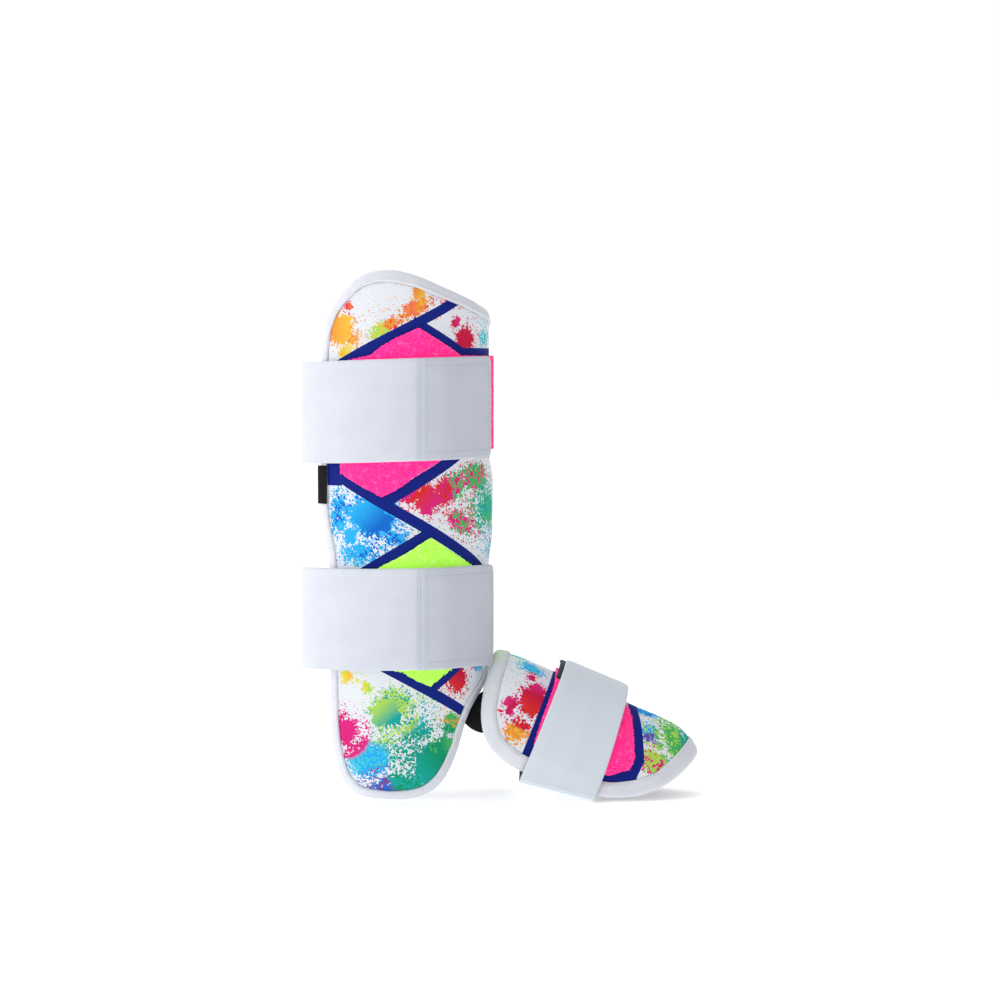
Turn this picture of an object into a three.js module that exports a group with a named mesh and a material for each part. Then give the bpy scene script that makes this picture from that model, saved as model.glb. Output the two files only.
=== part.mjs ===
// A batter's leg guard for one leg: a padded shin shell with two elastic straps, and a padded foot shell
// with one strap, joined by a short elastic link. It stands on its shin tongue and on the foot strap.
// Millimetres, +Z up. X points to the toes, Y across the foot, and the leg's axis is the Z axis.

import * as THREE from "three";
import { mergeVertices } from "three/addons/utils/BufferGeometryUtils.js";

// Shin shell sizes
const SHIN_HEIGHT = 333.5;
const CALF_HALF_LENGTH = 59.6;
const CALF_HALF_DEPTH = 58;
const ANKLE_TAPER = 0.24;
const TAPER_POWER = 2.2;
const TONGUE_CURL = 11;
const TONGUE_CURL_HEIGHT = 24;
const SHIN_PAD_THICKNESS = 8;
const SHIN_BINDING_WIDTH = 7.6;

// Foot shell sizes
const FOOT_LENGTH = 147.5;
const FOOT_HALF_WIDTH = 46;
const FOOT_DEPTH = 63.8;
const FOOT_PITCH = 22.8;
const FOOT_PAD_THICKNESS = 7;
const FOOT_BINDING_WIDTH = 9;
const FOOT_RIDGE_HEIGHT = FOOT_DEPTH + 31;
const TOE_DROP = 10.5;

// Binding tape, loop fabric, elastic and label sizes
const TAPE_THICKNESS = 1.4;
const TAPE_RISE = 0.7;
const LOOP_THICKNESS = 1.8;
const STRAP_WIDTH = 62.5;
const STRAP_THICKNESS = 1.6;
const TAB_THICKNESS = 1.7;
const FOOT_STRAP_WIDTH = 48;
const FOOT_TAB_WIDTH = 42;
const FOOT_TAB_BACK = 5;
const SOLE_PITCH = 14;
const SOLE_CORNER = 3.5;
const LABEL_WIDTH = 8;
const LABEL_HEIGHT = 24;
const LABEL_DROP = 2.9;
const LABEL_THICKNESS = 0.7;
const LINK_THICKNESS = 2;

// Small gaps between pieces that are sewn or pressed together
const SEAM_GAP = 0.3;
const LIP_GAP = 0.4;
const FABRIC_GAP = 0.5;
const LINK_GAP = 0.9;
const GUARDS_GAP = 1.8;

// How finely the curved shapes are divided
const SHIN_EDGE_POINTS = 64;
const FOOT_EDGE_POINTS = 46;
const SHIN_RINGS = 8;
const FOOT_RINGS = 6;
const PANEL_ROWS = 3;
const STRAP_COLUMNS = 44;
const TAB_COLUMNS = 9;
const FOOT_STRAP_COLUMNS = 72;
const FOOT_TAB_COLUMNS = 8;
const LINK_COLUMNS = 12;

// Places of straps and label, as shares of the shin height, and turns round the leg in degrees.
// A turn is measured from the outer side of the leg (-Y) towards the toes (+X).
const UPPER_STRAP_PLACE = 0.7385;
const LOWER_STRAP_PLACE = 0.3485;
const STRAP_ROOT_TURN = 127;
const TAB_START_TURN = 16;
const UPPER_TAB_END_TURN = 67;
const LOWER_TAB_END_TURN = 71;
const TAB_OVERLAP_TURN = 9;
const TAB_STEP_START = 1;
const TAB_STEP_END = 5;
const FOOT_STRAP_PLACE = 0.316;
const LABEL_TURN = -47.2;

// A strap's rise is how far its front lies above its middle, as a share of the calf's half length. Its sag
// is how far its back hangs down, in millimetres.
const UPPER_STRAP_RISE = 0.036;
const UPPER_STRAP_SAG = 0;
const LOWER_STRAP_RISE = 0.02;
const LOWER_STRAP_SAG = 6.5;
const FULL_TURN = 360;
const BACK_TURN = 270;

// The middle that each shell's faces spread from: a turn and a share of the height on the shin, and a
// share of the length on the foot's ridge.
const SHIN_MIDDLE_TURN = 42;
const SHIN_MIDDLE_PLACE = 0.55;
const FOOT_MIDDLE_PLACE = 0.5;

// The foot strap and its tab as ways round the strap's loop: 0 and 1 are the ridge, and the strap runs
// down the far side, under the sole and up the near side. Below the side fall its sides are straight.
const FOOT_STRAP_START = -0.07;
const FOOT_STRAP_END = 0.965;
const FOOT_TAB_START = -0.085;
const FOOT_TAB_END = 0.03;
const SIDE_FALL = 78;

// The shin shell's edge, anticlockwise from the tip of the tongue: height is a share of SHIN_HEIGHT.
const SHIN_OUTLINE = [
  { turn: 10, height: -0.0015 },
  { turn: 22.5, height: 0.0115 },
  { turn: 32, height: 0.036 },
  { turn: 42.4, height: 0.088 },
  { turn: 51, height: 0.15 },
  { turn: 58, height: 0.178 },
  { turn: 77, height: 0.219 },
  { turn: 90, height: 0.248 },
  { turn: 106, height: 0.256 },
  { turn: 120, height: 0.272 },
  { turn: 129, height: 0.312 },
  { turn: 133, height: 0.38 },
  { turn: 135, height: 0.5 },
  { turn: 135, height: 0.68 },
  { turn: 133, height: 0.81 },
  { turn: 128, height: 0.868 },
  { turn: 116, height: 0.9 },
  { turn: 90, height: 0.925 },
  { turn: 67, height: 0.9385 },
  { turn: 36, height: 0.966 },
  { turn: 13, height: 0.9915 },
  { turn: -3, height: 1 },
  { turn: -20, height: 0.99 },
  { turn: -34, height: 0.957 },
  { turn: -43.5, height: 0.922 },
  { turn: -48.7, height: 0.88 },
  { turn: -50.8, height: 0.82 },
  { turn: -51.6, height: 0.6 },
  { turn: -50, height: 0.535 },
  { turn: -45.5, height: 0.475 },
  { turn: -43.6, height: 0.43 },
  { turn: -43.6, height: 0.2 },
  { turn: -42.3, height: 0.13 },
  { turn: -38.6, height: 0.074 },
  { turn: -32.5, height: 0.033 },
  { turn: -23, height: 0.0075 },
  { turn: -10, height: -0.0015 },
];

// Half of the foot shell's edge, from the heel side over the floor side to the toe: along is a share of
// FOOT_LENGTH, and fall is the angle down from the ridge in degrees.
const FOOT_OUTLINE = [
  { along: 0.019, fall: 0 },
  { along: 0.018, fall: 12 },
  { along: 0.019, fall: 25 },
  { along: 0.023, fall: 39 },
  { along: 0.038, fall: 56 },
  { along: 0.066, fall: 69 },
  { along: 0.108, fall: 78.5 },
  { along: 0.165, fall: 84.5 },
  { along: 0.25, fall: 88 },
  { along: 0.38, fall: 88.8 },
  { along: 0.52, fall: 87.4 },
  { along: 0.6, fall: 86 },
  { along: 0.67, fall: 84.6 },
  { along: 0.75, fall: 80.5 },
  { along: 0.835, fall: 73 },
  { along: 0.905, fall: 61 },
  { along: 0.953, fall: 45 },
  { along: 0.985, fall: 25 },
  { along: 1, fall: 0 },
];

// The foot shell's cross section along its ridge: width is a share of FOOT_HALF_WIDTH, drop a share of
// TOE_DROP that the ridge lies below its straight line.
const FOOT_SECTIONS = [
  { along: 0, width: 0.88, drop: 0.1 },
  { along: 0.1, width: 0.94, drop: 0 },
  { along: 0.3, width: 1, drop: 0 },
  { along: 0.66, width: 0.965, drop: 0 },
  { along: 0.8, width: 0.92, drop: 0.04 },
  { along: 0.9, width: 0.86, drop: 0.24 },
  { along: 1, width: 0.78, drop: 1 },
];

// The loop fabric on the shin, one table a panel: low and high are shares of SHIN_HEIGHT at that turn.
const UPPER_LOOP = [
  { turn: -32.5, low: 0.621, high: 0.828 },
  { turn: -23.5, low: 0.604, high: 0.834 },
  { turn: -13, low: 0.587, high: 0.841 },
  { turn: -6.6, low: 0.5765, high: 0.857 },
  { turn: 1.5, low: 0.5885, high: 0.872 },
  { turn: 15.5, low: 0.619, high: 0.892 },
  { turn: 26, low: 0.638, high: 0.872 },
  { turn: 35, low: 0.656, high: 0.856 },
  { turn: 44, low: 0.66, high: 0.84 },
  { turn: 60, low: 0.662, high: 0.84 },
  { turn: 75, low: 0.664, high: 0.84 },
  { turn: 90, low: 0.664, high: 0.84 },
  { turn: 105, low: 0.664, high: 0.84 },
  { turn: 118, low: 0.664, high: 0.84 },
];
const LOWER_LOOP = [
  { turn: -30, low: 0.29, high: 0.405 },
  { turn: -19, low: 0.272, high: 0.427 },
  { turn: -7.5, low: 0.256, high: 0.446 },
  { turn: 5.5, low: 0.248, high: 0.467 },
  { turn: 14, low: 0.231, high: 0.484 },
  { turn: 22.5, low: 0.22, high: 0.5 },
  { turn: 29, low: 0.236, high: 0.4875 },
  { turn: 36.3, low: 0.251, high: 0.474 },
  { turn: 45, low: 0.27, high: 0.4585 },
  { turn: 54, low: 0.28, high: 0.443 },
  { turn: 66, low: 0.285, high: 0.42 },
  { turn: 80, low: 0.285, high: 0.4 },
  { turn: 100, low: 0.29, high: 0.4 },
  { turn: 118, low: 0.315, high: 0.4 },
];

// The loop fabric on the foot, from the near side over the ridge to the far side: heel and toe are its
// edges, as shares of FOOT_LENGTH, at that angle down from the ridge.
const FOOT_LOOP = [
  { fall: -72, heel: 0.313, toe: 0.66 },
  { fall: -64, heel: 0.308, toe: 0.735 },
  { fall: -56, heel: 0.305, toe: 0.737 },
  { fall: -43, heel: 0.305, toe: 0.7 },
  { fall: -28, heel: 0.303, toe: 0.665 },
  { fall: -15, heel: 0.297, toe: 0.64 },
  { fall: 0, heel: 0.293, toe: 0.632 },
  { fall: 15, heel: 0.297, toe: 0.64 },
  { fall: 28, heel: 0.303, toe: 0.665 },
  { fall: 43, heel: 0.305, toe: 0.7 },
  { fall: 56, heel: 0.307, toe: 0.72 },
];

// How far each strap lies outside the shin shell at a turn, as a share of its lift over the loop fabric.
const STRAP_LIFT = [
  { turn: -90, share: -0.5 },
  { turn: -72, share: 0.05 },
  { turn: -58, share: 0.7 },
  { turn: -48, share: 0.85 },
  { turn: -36, share: 1 },
  { turn: 110, share: 1 },
  { turn: 125, share: 0.45 },
  { turn: 136, share: 0.45 },
  { turn: 156, share: 0.3 },
  { turn: 180, share: -0.4 },
  { turn: 225, share: -1 },
  { turn: 270, share: -0.5 },
];

// The foot strap's lift round its loop, which starts at the ridge and runs down the far side, under the
// sole and up the near side: base is a share of the lift over the loop fabric, and over says how much of
// the layers below the strap's own end it lies above.
const FOOT_STRAP_LIFT = [
  { way: -0.1, base: 1.9, over: 0 },
  { way: 0.03, base: 1.9, over: 0 },
  { way: 0.08, base: 1.6, over: 0 },
  { way: 0.16, base: 1, over: 0 },
  { way: 0.72, base: 1, over: 0 },
  { way: 0.8, base: 1, over: 0.5 },
  { way: 0.86, base: 1.3, over: 0.9 },
  { way: 0.9, base: 1.9, over: 1 },
  { way: 1, base: 1.9, over: 1 },
];

// The link's seats, two columns on the inside of the shin shell and two on the inside of the foot shell.
const LINK_SHIN_SEAT = [
  { top: { turn: 50, height: 0.205 }, bottom: { turn: 47, height: 0.165 } },
  { top: { turn: 59.5, height: 0.168 }, bottom: { turn: 57, height: 0.138 } },
];
const LINK_FOOT_SEAT = [
  { top: { along: 0.05, fall: 50 }, bottom: { along: 0.09, fall: 79 } },
  { top: { along: 0.1, fall: 52 }, bottom: { along: 0.14, fall: 77 } },
];

const radians = THREE.MathUtils.degToRad;

// The value of one column of a table at a place along another, on straight lines between its rows.
function lookUp(table, key, column, place) {
  const last = table.length - 1;
  const next = table.findIndex((row) => row[key] >= place);
  const upper = next < 0 ? last : Math.max(next, 1);
  const low = table[upper - 1];
  const high = table[upper];
  const share = THREE.MathUtils.clamp((place - low[key]) / (high[key] - low[key]), 0, 1);
  return THREE.MathUtils.lerp(low[column], high[column], share);
}

// Evenly spaced numbers from one value to another, both ends kept.
function steps(from, to, count) {
  return Array.from({ length: count + 1 }, (_, i) => from + ((to - from) * i) / count);
}

// A closed solid swept through sections of equal length: each section is a closed loop of points whose
// second half runs back beside its first. A ring joins its last section to its first, and any other
// sweep is capped at both ends. Each four-sided face is split along its shorter diagonal.
function sweep(sections, ring) {
  const count = sections.length;
  const size = sections[0].length;
  const faces = [];
  const points = sections.flat();
  const quad = (a, b, c, d) => {
    const straight = points[a].distanceTo(points[c]) <= points[b].distanceTo(points[d]);
    faces.push(...(straight ? [[a, b, c], [a, c, d]] : [[a, b, d], [b, c, d]]));
  };
  const at = (i, j) => (i % count) * size + (j % size);
  for (let i = 0; i < (ring ? count : count - 1); i += 1) {
    for (let j = 0; j < size; j += 1) quad(at(i, j), at(i, j + 1), at(i + 1, j + 1), at(i + 1, j));
  }
  if (!ring) {
    for (let j = 0; j < size / 2 - 1; j += 1) {
      const across = size - 1 - j;
      quad(at(0, j + 1), at(0, j), at(0, across), at(0, across - 1));
      quad(at(count - 1, j), at(count - 1, j + 1), at(count - 1, across - 1), at(count - 1, across));
    }
  }
  return solidGeometry(points, faces);
}

// The merged geometry of points and faces, turned to face outwards, without the faces that a shared
// point leaves flat.
function solidGeometry(points, faces) {
  const raw = new THREE.BufferGeometry().setFromPoints(points);
  raw.setIndex(faces.flat());
  const merged = mergeVertices(raw, 1e-3);
  const index = merged.index.array;
  const kept = [];
  for (let i = 0; i < index.length; i += 3) {
    const [a, b, c] = index.slice(i, i + 3);
    if (a !== b && b !== c && c !== a) kept.push([a, b, c]);
  }
  const corner = (i) => new THREE.Vector3().fromBufferAttribute(merged.attributes.position, i);
  const volume = kept.reduce((sum, [a, b, c]) => sum + corner(a).dot(corner(b).cross(corner(c))), 0);
  merged.setIndex((volume > 0 ? kept : kept.map(([a, b, c]) => [a, c, b])).flat());
  merged.computeVertexNormals();
  return merged;
}

// The depth of the shin shell across the leg at a height: it tapers to the ankle, and the tongue's tip
// curls in.
function calfDepth(z) {
  const up = THREE.MathUtils.clamp(z / SHIN_HEIGHT, 0, 1);
  const curl = Math.max(0, 1 - z / TONGUE_CURL_HEIGHT);
  return CALF_HALF_DEPTH * (1 - ANKLE_TAPER * (1 - up) ** TAPER_POWER) - TONGUE_CURL * curl ** 2;
}

// A point on the shin shell: round is the way round the leg in millimetres, z the height, and lift the
// distance out from the shell's outer face.
function shinPoint(round, z, lift) {
  const turn = round / CALF_HALF_LENGTH;
  const depth = calfDepth(z);
  const slope = calfDepth(z + 0.5) - calfDepth(z - 0.5);
  const point = new THREE.Vector3(CALF_HALF_LENGTH * Math.sin(turn), -depth * Math.cos(turn), z);
  const along = new THREE.Vector3(CALF_HALF_LENGTH * Math.cos(turn), depth * Math.sin(turn), 0);
  const up = new THREE.Vector3(0, -slope * Math.cos(turn), 1);
  return point.addScaledVector(along.cross(up).normalize(), lift);
}

const roundOf = (turn) => radians(turn) * CALF_HALF_LENGTH;

// The foot shell's ridge runs down to the toe at FOOT_PITCH. Its frame has u along the ridge, the width
// across, and n square to the ridge.
const footAlong = new THREE.Vector3(Math.cos(radians(FOOT_PITCH)), 0, -Math.sin(radians(FOOT_PITCH)));
const footUp = new THREE.Vector3(-footAlong.z, 0, footAlong.x);
const footHeel = new THREE.Vector3(CALF_HALF_LENGTH + TAPE_RISE + GUARDS_GAP, 0, FOOT_RIDGE_HEIGHT);
const FALL_RADIUS = (FOOT_HALF_WIDTH + FOOT_DEPTH) / 2;

function footFrame(u, y, n) {
  return footHeel.clone().addScaledVector(footAlong, u).addScaledVector(footUp, n).setY(y);
}

// The foot shell's section at u: a half ellipse from its ridge down both sides.
function footSection(u) {
  const along = THREE.MathUtils.clamp(u / FOOT_LENGTH, 0, 1);
  return {
    width: FOOT_HALF_WIDTH * lookUp(FOOT_SECTIONS, "along", "width", along),
    top: -TOE_DROP * lookUp(FOOT_SECTIONS, "along", "drop", along),
  };
}

// A point on the foot shell: u along the ridge, w the way round from the ridge in millimetres, and lift
// the distance out from the shell's outer face.
function footPoint(u, w, lift) {
  const fall = w / FALL_RADIUS;
  const { width, top } = footSection(u);
  const out = new THREE.Vector2(FOOT_DEPTH * Math.sin(fall), width * Math.cos(fall)).normalize();
  const side = width * Math.sin(fall) + lift * out.x;
  const down = top - FOOT_DEPTH * (1 - Math.cos(fall)) + lift * out.y;
  return footFrame(u, side, down);
}

const fallWay = (fall) => radians(fall) * FALL_RADIUS;

// A smooth closed outline through rows of flat points, as evenly spaced samples.
function closedOutline(rows, samples) {
  const curve = new THREE.CatmullRomCurve3(rows, true, "centripetal");
  curve.arcLengthDivisions = samples * 20;
  return curve.getSpacedPoints(samples).slice(0, -1);
}

// The outline moved inwards by a distance, square to its own run. It runs anticlockwise.
function inset(outline, distance) {
  return outline.map((point, i) => {
    const before = outline.at(i - 1);
    const after = outline[(i + 1) % outline.length];
    const run = after.clone().sub(before).normalize();
    return new THREE.Vector3(point.x - run.y * distance, point.y + run.x * distance, 0);
  });
}

// A padded shell inside an outline: rings of points from the middle to the shoulder by the binding, and
// a thinner lip that sits in the binding's fold.
function paddedShell(surface, outline, middle, thickness, bindingWidth, rings) {
  const shoulder = inset(outline, bindingWidth + SEAM_GAP + LIP_GAP);
  const lipInsets = [bindingWidth + SEAM_GAP, bindingWidth / 2, TAPE_THICKNESS + LIP_GAP];
  const lips = lipInsets.map((distance) => inset(outline, distance));
  const lipTop = TAPE_RISE - TAPE_THICKNESS - LIP_GAP;
  const lipBottom = -thickness - lipTop;
  const spokes = outline.map((_, i) => {
    const face = steps(0, 1, rings).map((share) => middle.clone().lerp(shoulder[i], share));
    const lip = lips.map((points) => points[i]);
    const outer = face.map((point) => surface(point.x, point.y, 0));
    const inner = face.map((point) => surface(point.x, point.y, -thickness));
    outer.push(...lip.map((point) => surface(point.x, point.y, lipTop)));
    inner.push(...lip.map((point) => surface(point.x, point.y, lipBottom)));
    return [...outer, ...inner.reverse()];
  });
  return sweep(spokes, true);
}

// The binding tape folded round the shell's edge: a U section that follows the outline.
function foldedBinding(surface, outline, thickness, width) {
  const top = TAPE_RISE;
  const bottom = -thickness - TAPE_RISE;
  const bend = 2 * TAPE_THICKNESS;
  const section = [
    [width, top],
    [width / 2, top],
    [TAPE_THICKNESS, top],
    [0, top - bend],
    [0, bottom + bend],
    [TAPE_THICKNESS, bottom],
    [width / 2, bottom],
    [width, bottom],
    [width, bottom + TAPE_THICKNESS],
    [width / 2, bottom + TAPE_THICKNESS],
    [TAPE_THICKNESS, bottom + TAPE_THICKNESS],
    [TAPE_THICKNESS, top - TAPE_THICKNESS],
    [width / 2, top - TAPE_THICKNESS],
    [width, top - TAPE_THICKNESS],
  ];
  const insets = section.map(([distance]) => inset(outline, distance));
  const loops = outline.map((_, i) => {
    return section.map(([, lift], k) => surface(insets[k][i].x, insets[k][i].y, lift));
  });
  return sweep(loops, true);
}

// A flat piece of fabric on a surface: at each column a strip from low to high, between two lifts.
function fabricPatch(surface, columns, base, thickness, rows) {
  const strips = columns.map(({ place, low, high }) => {
    const heights = steps(low, high, rows);
    const outer = heights.map((height) => surface(place, height, base + thickness));
    const inner = heights.map((height) => surface(place, height, base));
    return [...outer, ...inner.reverse()];
  });
  return sweep(strips, false);
}

// The columns of a loop panel's table, with one more column between each pair of rows.
function panelColumns(table, toColumn) {
  const between = table.slice(1).map((row, i) => {
    const before = table[i];
    return Object.fromEntries(Object.keys(row).map((key) => [key, (row[key] + before[key]) / 2]));
  });
  return table.flatMap((row, i) => (i < between.length ? [row, between[i]] : [row])).map(toColumn);
}

function shinPanel(table) {
  const toColumn = ({ turn, low, high }) => {
    return { place: roundOf(turn), low: low * SHIN_HEIGHT, high: high * SHIN_HEIGHT };
  };
  return fabricPatch(shinPoint, panelColumns(table, toColumn), FABRIC_GAP, LOOP_THICKNESS, PANEL_ROWS);
}

function footPanel(table) {
  const toColumn = ({ fall, heel, toe }) => {
    return { place: fallWay(fall), low: heel * FOOT_LENGTH, high: toe * FOOT_LENGTH };
  };
  const swapped = (place, u, lift) => footPoint(u, place, lift);
  return fabricPatch(swapped, panelColumns(table, toColumn), FABRIC_GAP, LOOP_THICKNESS, PANEL_ROWS);
}

// Straps and tabs on the shin lie on the loop fabric, and round the back of the leg they run free.
const strapLift = LOOP_THICKNESS + 2 * FABRIC_GAP;

function strapColumn(turn, { place, rise, sag }, lift, thickness) {
  const share = lookUp(STRAP_LIFT, "turn", "share", turn > BACK_TURN ? turn - FULL_TURN : turn);
  const base = lift + strapLift * share;
  const back = (1 - Math.cos(radians(turn))) / 2;
  const level = place * SHIN_HEIGHT - sag * back ** 2;
  const middle = level + rise * CALF_HALF_LENGTH * Math.sin(radians(turn));
  const heights = [middle - STRAP_WIDTH / 2, middle + STRAP_WIDTH / 2];
  const round = roundOf(turn);
  const outer = heights.map((height) => shinPoint(round, height, base + thickness));
  const inner = heights.map((height) => shinPoint(round, height, base));
  return [...outer, ...inner.reverse()];
}

// A strap starts at its root on the shell's far edge and runs round the back of the leg to its tab.
function shinStrap(line) {
  const end = FULL_TURN + TAB_START_TURN + TAB_OVERLAP_TURN;
  const turns = steps(STRAP_ROOT_TURN, end, STRAP_COLUMNS);
  return sweep(turns.map((turn) => strapColumn(turn, line, 0, STRAP_THICKNESS)), false);
}

// A tab lies over the strap's end and steps down past it onto the loop fabric.
function shinTab(line, endTurn) {
  const over = STRAP_THICKNESS + SEAM_GAP;
  const strapEnd = TAB_START_TURN + TAB_OVERLAP_TURN;
  const stepped = [
    ...steps(TAB_START_TURN, strapEnd + TAB_STEP_START, 2).map((turn) => ({ turn, lift: over })),
    ...steps(strapEnd + TAB_STEP_END, endTurn, TAB_COLUMNS).map((turn) => ({ turn, lift: 0 })),
  ];
  return sweep(stepped.map(({ turn, lift }) => strapColumn(turn, line, lift, TAB_THICKNESS)), false);
}

// The foot strap runs down the sides to the side fall, and its sole part touches the floor at its toe
// edge. soleDepth is how far below the ridge line the sole part's inner face lies at u.
const footStrapHeel = FOOT_STRAP_PLACE * FOOT_LENGTH;
const footStrapToe = footStrapHeel + FOOT_STRAP_WIDTH;

function soleDepth(u) {
  const floorDepth = (FOOT_RIDGE_HEIGHT + footStrapToe * footAlong.z) / footAlong.x;
  const slope = Math.tan(radians(FOOT_PITCH - SOLE_PITCH));
  return floorDepth + (footStrapToe - u) * slope - STRAP_THICKNESS;
}

// A point of the foot strap's loop at u: way runs from 0 at the ridge down the far side, under the sole
// and up the near side to 1 at the ridge again.
function footLoopPoint(u, way, lift) {
  const { width, top } = footSection(u);
  const archEnd = radians(SIDE_FALL);
  const side = (width + lift) * Math.sin(archEnd);
  const sideFoot = top + lift - (FOOT_DEPTH + lift) * (1 - Math.cos(archEnd));
  const sole = -soleDepth(u) - (lift - strapLift);
  const low = sole + SOLE_CORNER;
  const corner = side - SOLE_CORNER;
  const stretches = [
    { length: archEnd * FALL_RADIUS, at: (part) => archAt(part * archEnd) },
    { length: sideFoot - low, at: (part) => [side, THREE.MathUtils.lerp(sideFoot, low, part)] },
    { length: (SOLE_CORNER * Math.PI) / 2, at: (part) => bendAt(part, 1) },
    { length: 2 * corner, at: (part) => [THREE.MathUtils.lerp(corner, -corner, part), sole] },
    { length: (SOLE_CORNER * Math.PI) / 2, at: (part) => bendAt(1 - part, -1) },
    { length: sideFoot - low, at: (part) => [-side, THREE.MathUtils.lerp(low, sideFoot, part)] },
    { length: archEnd * FALL_RADIUS, at: (part) => archAt((part - 1) * archEnd) },
  ];
  function archAt(fall) {
    return [(width + lift) * Math.sin(fall), top + lift - (FOOT_DEPTH + lift) * (1 - Math.cos(fall))];
  }
  function bendAt(part, hand) {
    const angle = (part * Math.PI) / 2;
    return [hand * (corner + SOLE_CORNER * Math.cos(angle)), low - SOLE_CORNER * Math.sin(angle)];
  }
  const total = stretches.reduce((sum, { length }) => sum + length, 0);
  let rest = (way - Math.floor(way)) * total;
  const here = stretches.find(({ length }) => {
    if (rest <= length) return true;
    rest -= length;
    return false;
  });
  return footFrame(u, ...here.at(rest / here.length));
}

// A band round the foot between two ways and between two places along the ridge.
function footBand(ways, edges, thickness, liftAt) {
  const columns = ways.map((way) => {
    const outer = edges.map((u) => footLoopPoint(u, way, liftAt(way) + thickness));
    const inner = edges.map((u) => footLoopPoint(u, way, liftAt(way)));
    return [...outer, ...inner.reverse()];
  });
  return sweep(columns, false);
}

// The foot strap starts under its own tab, goes round the foot and ends above the tab.
const footStrapBase = (way) => strapLift * lookUp(FOOT_STRAP_LIFT, "way", "base", way);

function footStrap() {
  const stack = STRAP_THICKNESS + TAB_THICKNESS + 2 * SEAM_GAP;
  const liftAt = (way) => footStrapBase(way) + stack * lookUp(FOOT_STRAP_LIFT, "way", "over", way);
  const ways = steps(FOOT_STRAP_START, FOOT_STRAP_END, FOOT_STRAP_COLUMNS);
  return footBand(ways, [footStrapHeel, footStrapToe], STRAP_THICKNESS, liftAt);
}

function footTab() {
  const liftAt = (way) => footStrapBase(way) + STRAP_THICKNESS + SEAM_GAP;
  const start = footStrapHeel - FOOT_TAB_BACK;
  const ways = steps(FOOT_TAB_START, FOOT_TAB_END, FOOT_TAB_COLUMNS);
  return footBand(ways, [start, start + FOOT_TAB_WIDTH], TAB_THICKNESS, liftAt);
}

// The side label is sewn on the binding's outer face, just below the upper strap.
function sideLabel() {
  const middle = roundOf(LABEL_TURN);
  const base = TAPE_RISE + SEAM_GAP;
  const low = UPPER_STRAP_PLACE * SHIN_HEIGHT - STRAP_WIDTH / 2 - LABEL_DROP - LABEL_HEIGHT;
  const columns = steps(middle - LABEL_WIDTH / 2, middle + LABEL_WIDTH / 2, 3).map((place) => {
    return { place, low, high: low + LABEL_HEIGHT };
  });
  return fabricPatch(shinPoint, columns, base, LABEL_THICKNESS, 2);
}

// The elastic link runs from the inside of the shin shell's lower edge to the inside of the foot shell's
// heel edge, on smooth curves through its seats.
function ankleLink() {
  const shinLift = -(SHIN_PAD_THICKNESS + TAPE_RISE + LINK_GAP);
  const footLift = -(FOOT_PAD_THICKNESS + TAPE_RISE + LINK_GAP);
  const shinSeat = ({ turn, height }) => shinPoint(roundOf(turn), height * SHIN_HEIGHT, shinLift);
  const footSeat = ({ along, fall }) => footPoint(along * FOOT_LENGTH, fallWay(-fall), footLift);
  const edges = ["top", "bottom"].map((edge) => {
    const seats = [
      ...LINK_SHIN_SEAT.map((row) => shinSeat(row[edge])),
      ...LINK_FOOT_SEAT.map((row) => footSeat(row[edge])),
    ];
    return new THREE.CatmullRomCurve3(seats, false, "centripetal").getPoints(LINK_COLUMNS);
  });
  const inwards = new THREE.Vector3(-0.4, 0.9, 0).normalize().multiplyScalar(LINK_THICKNESS);
  const columns = edges[0].map((top, i) => {
    const outer = steps(0, 1, 2).map((share) => top.clone().lerp(edges[1][i], share));
    const inner = outer.map((point) => point.clone().add(inwards));
    return [...outer, ...inner.reverse()];
  });
  return sweep(columns, false);
}

const shinRows = SHIN_OUTLINE.map(({ turn, height }) => {
  return new THREE.Vector3(roundOf(turn), height * SHIN_HEIGHT, 0);
});
const shinOutline = closedOutline(shinRows, SHIN_EDGE_POINTS);
const shinMiddle = new THREE.Vector3(roundOf(SHIN_MIDDLE_TURN), SHIN_MIDDLE_PLACE * SHIN_HEIGHT, 0);

const footNear = FOOT_OUTLINE.map(({ along, fall }) => {
  return new THREE.Vector3(along * FOOT_LENGTH, -fallWay(fall), 0);
});
const footFar = footNear.slice(1, -1).map((point) => new THREE.Vector3(point.x, -point.y, 0));
const footOutline = closedOutline([...footNear, ...footFar.reverse()], FOOT_EDGE_POINTS);
const footMiddle = new THREE.Vector3(FOOT_MIDDLE_PLACE * FOOT_LENGTH, 0, 0);

const PRINT = { color: 0xdfe6ea, roughness: 0.8 };
const BINDING = { color: 0xe9ecf3, roughness: 0.6 };
const PINK_LOOP = { color: 0xff3c96, roughness: 0.95 };
const LIME_LOOP = { color: 0xb8ee6a, roughness: 0.95 };
const ELASTIC = { color: 0xdde2ee, roughness: 0.7 };
const BLACK_ELASTIC = { color: 0x0c0c10, roughness: 0.8 };

const guard = new THREE.Group();

// Adds one named piece with its own plain material.
function addPiece(name, look, geometry) {
  const material = new THREE.MeshStandardMaterial({ ...look, metalness: 0 });
  const mesh = new THREE.Mesh(geometry, material);
  mesh.name = name;
  guard.add(mesh);
}

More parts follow.
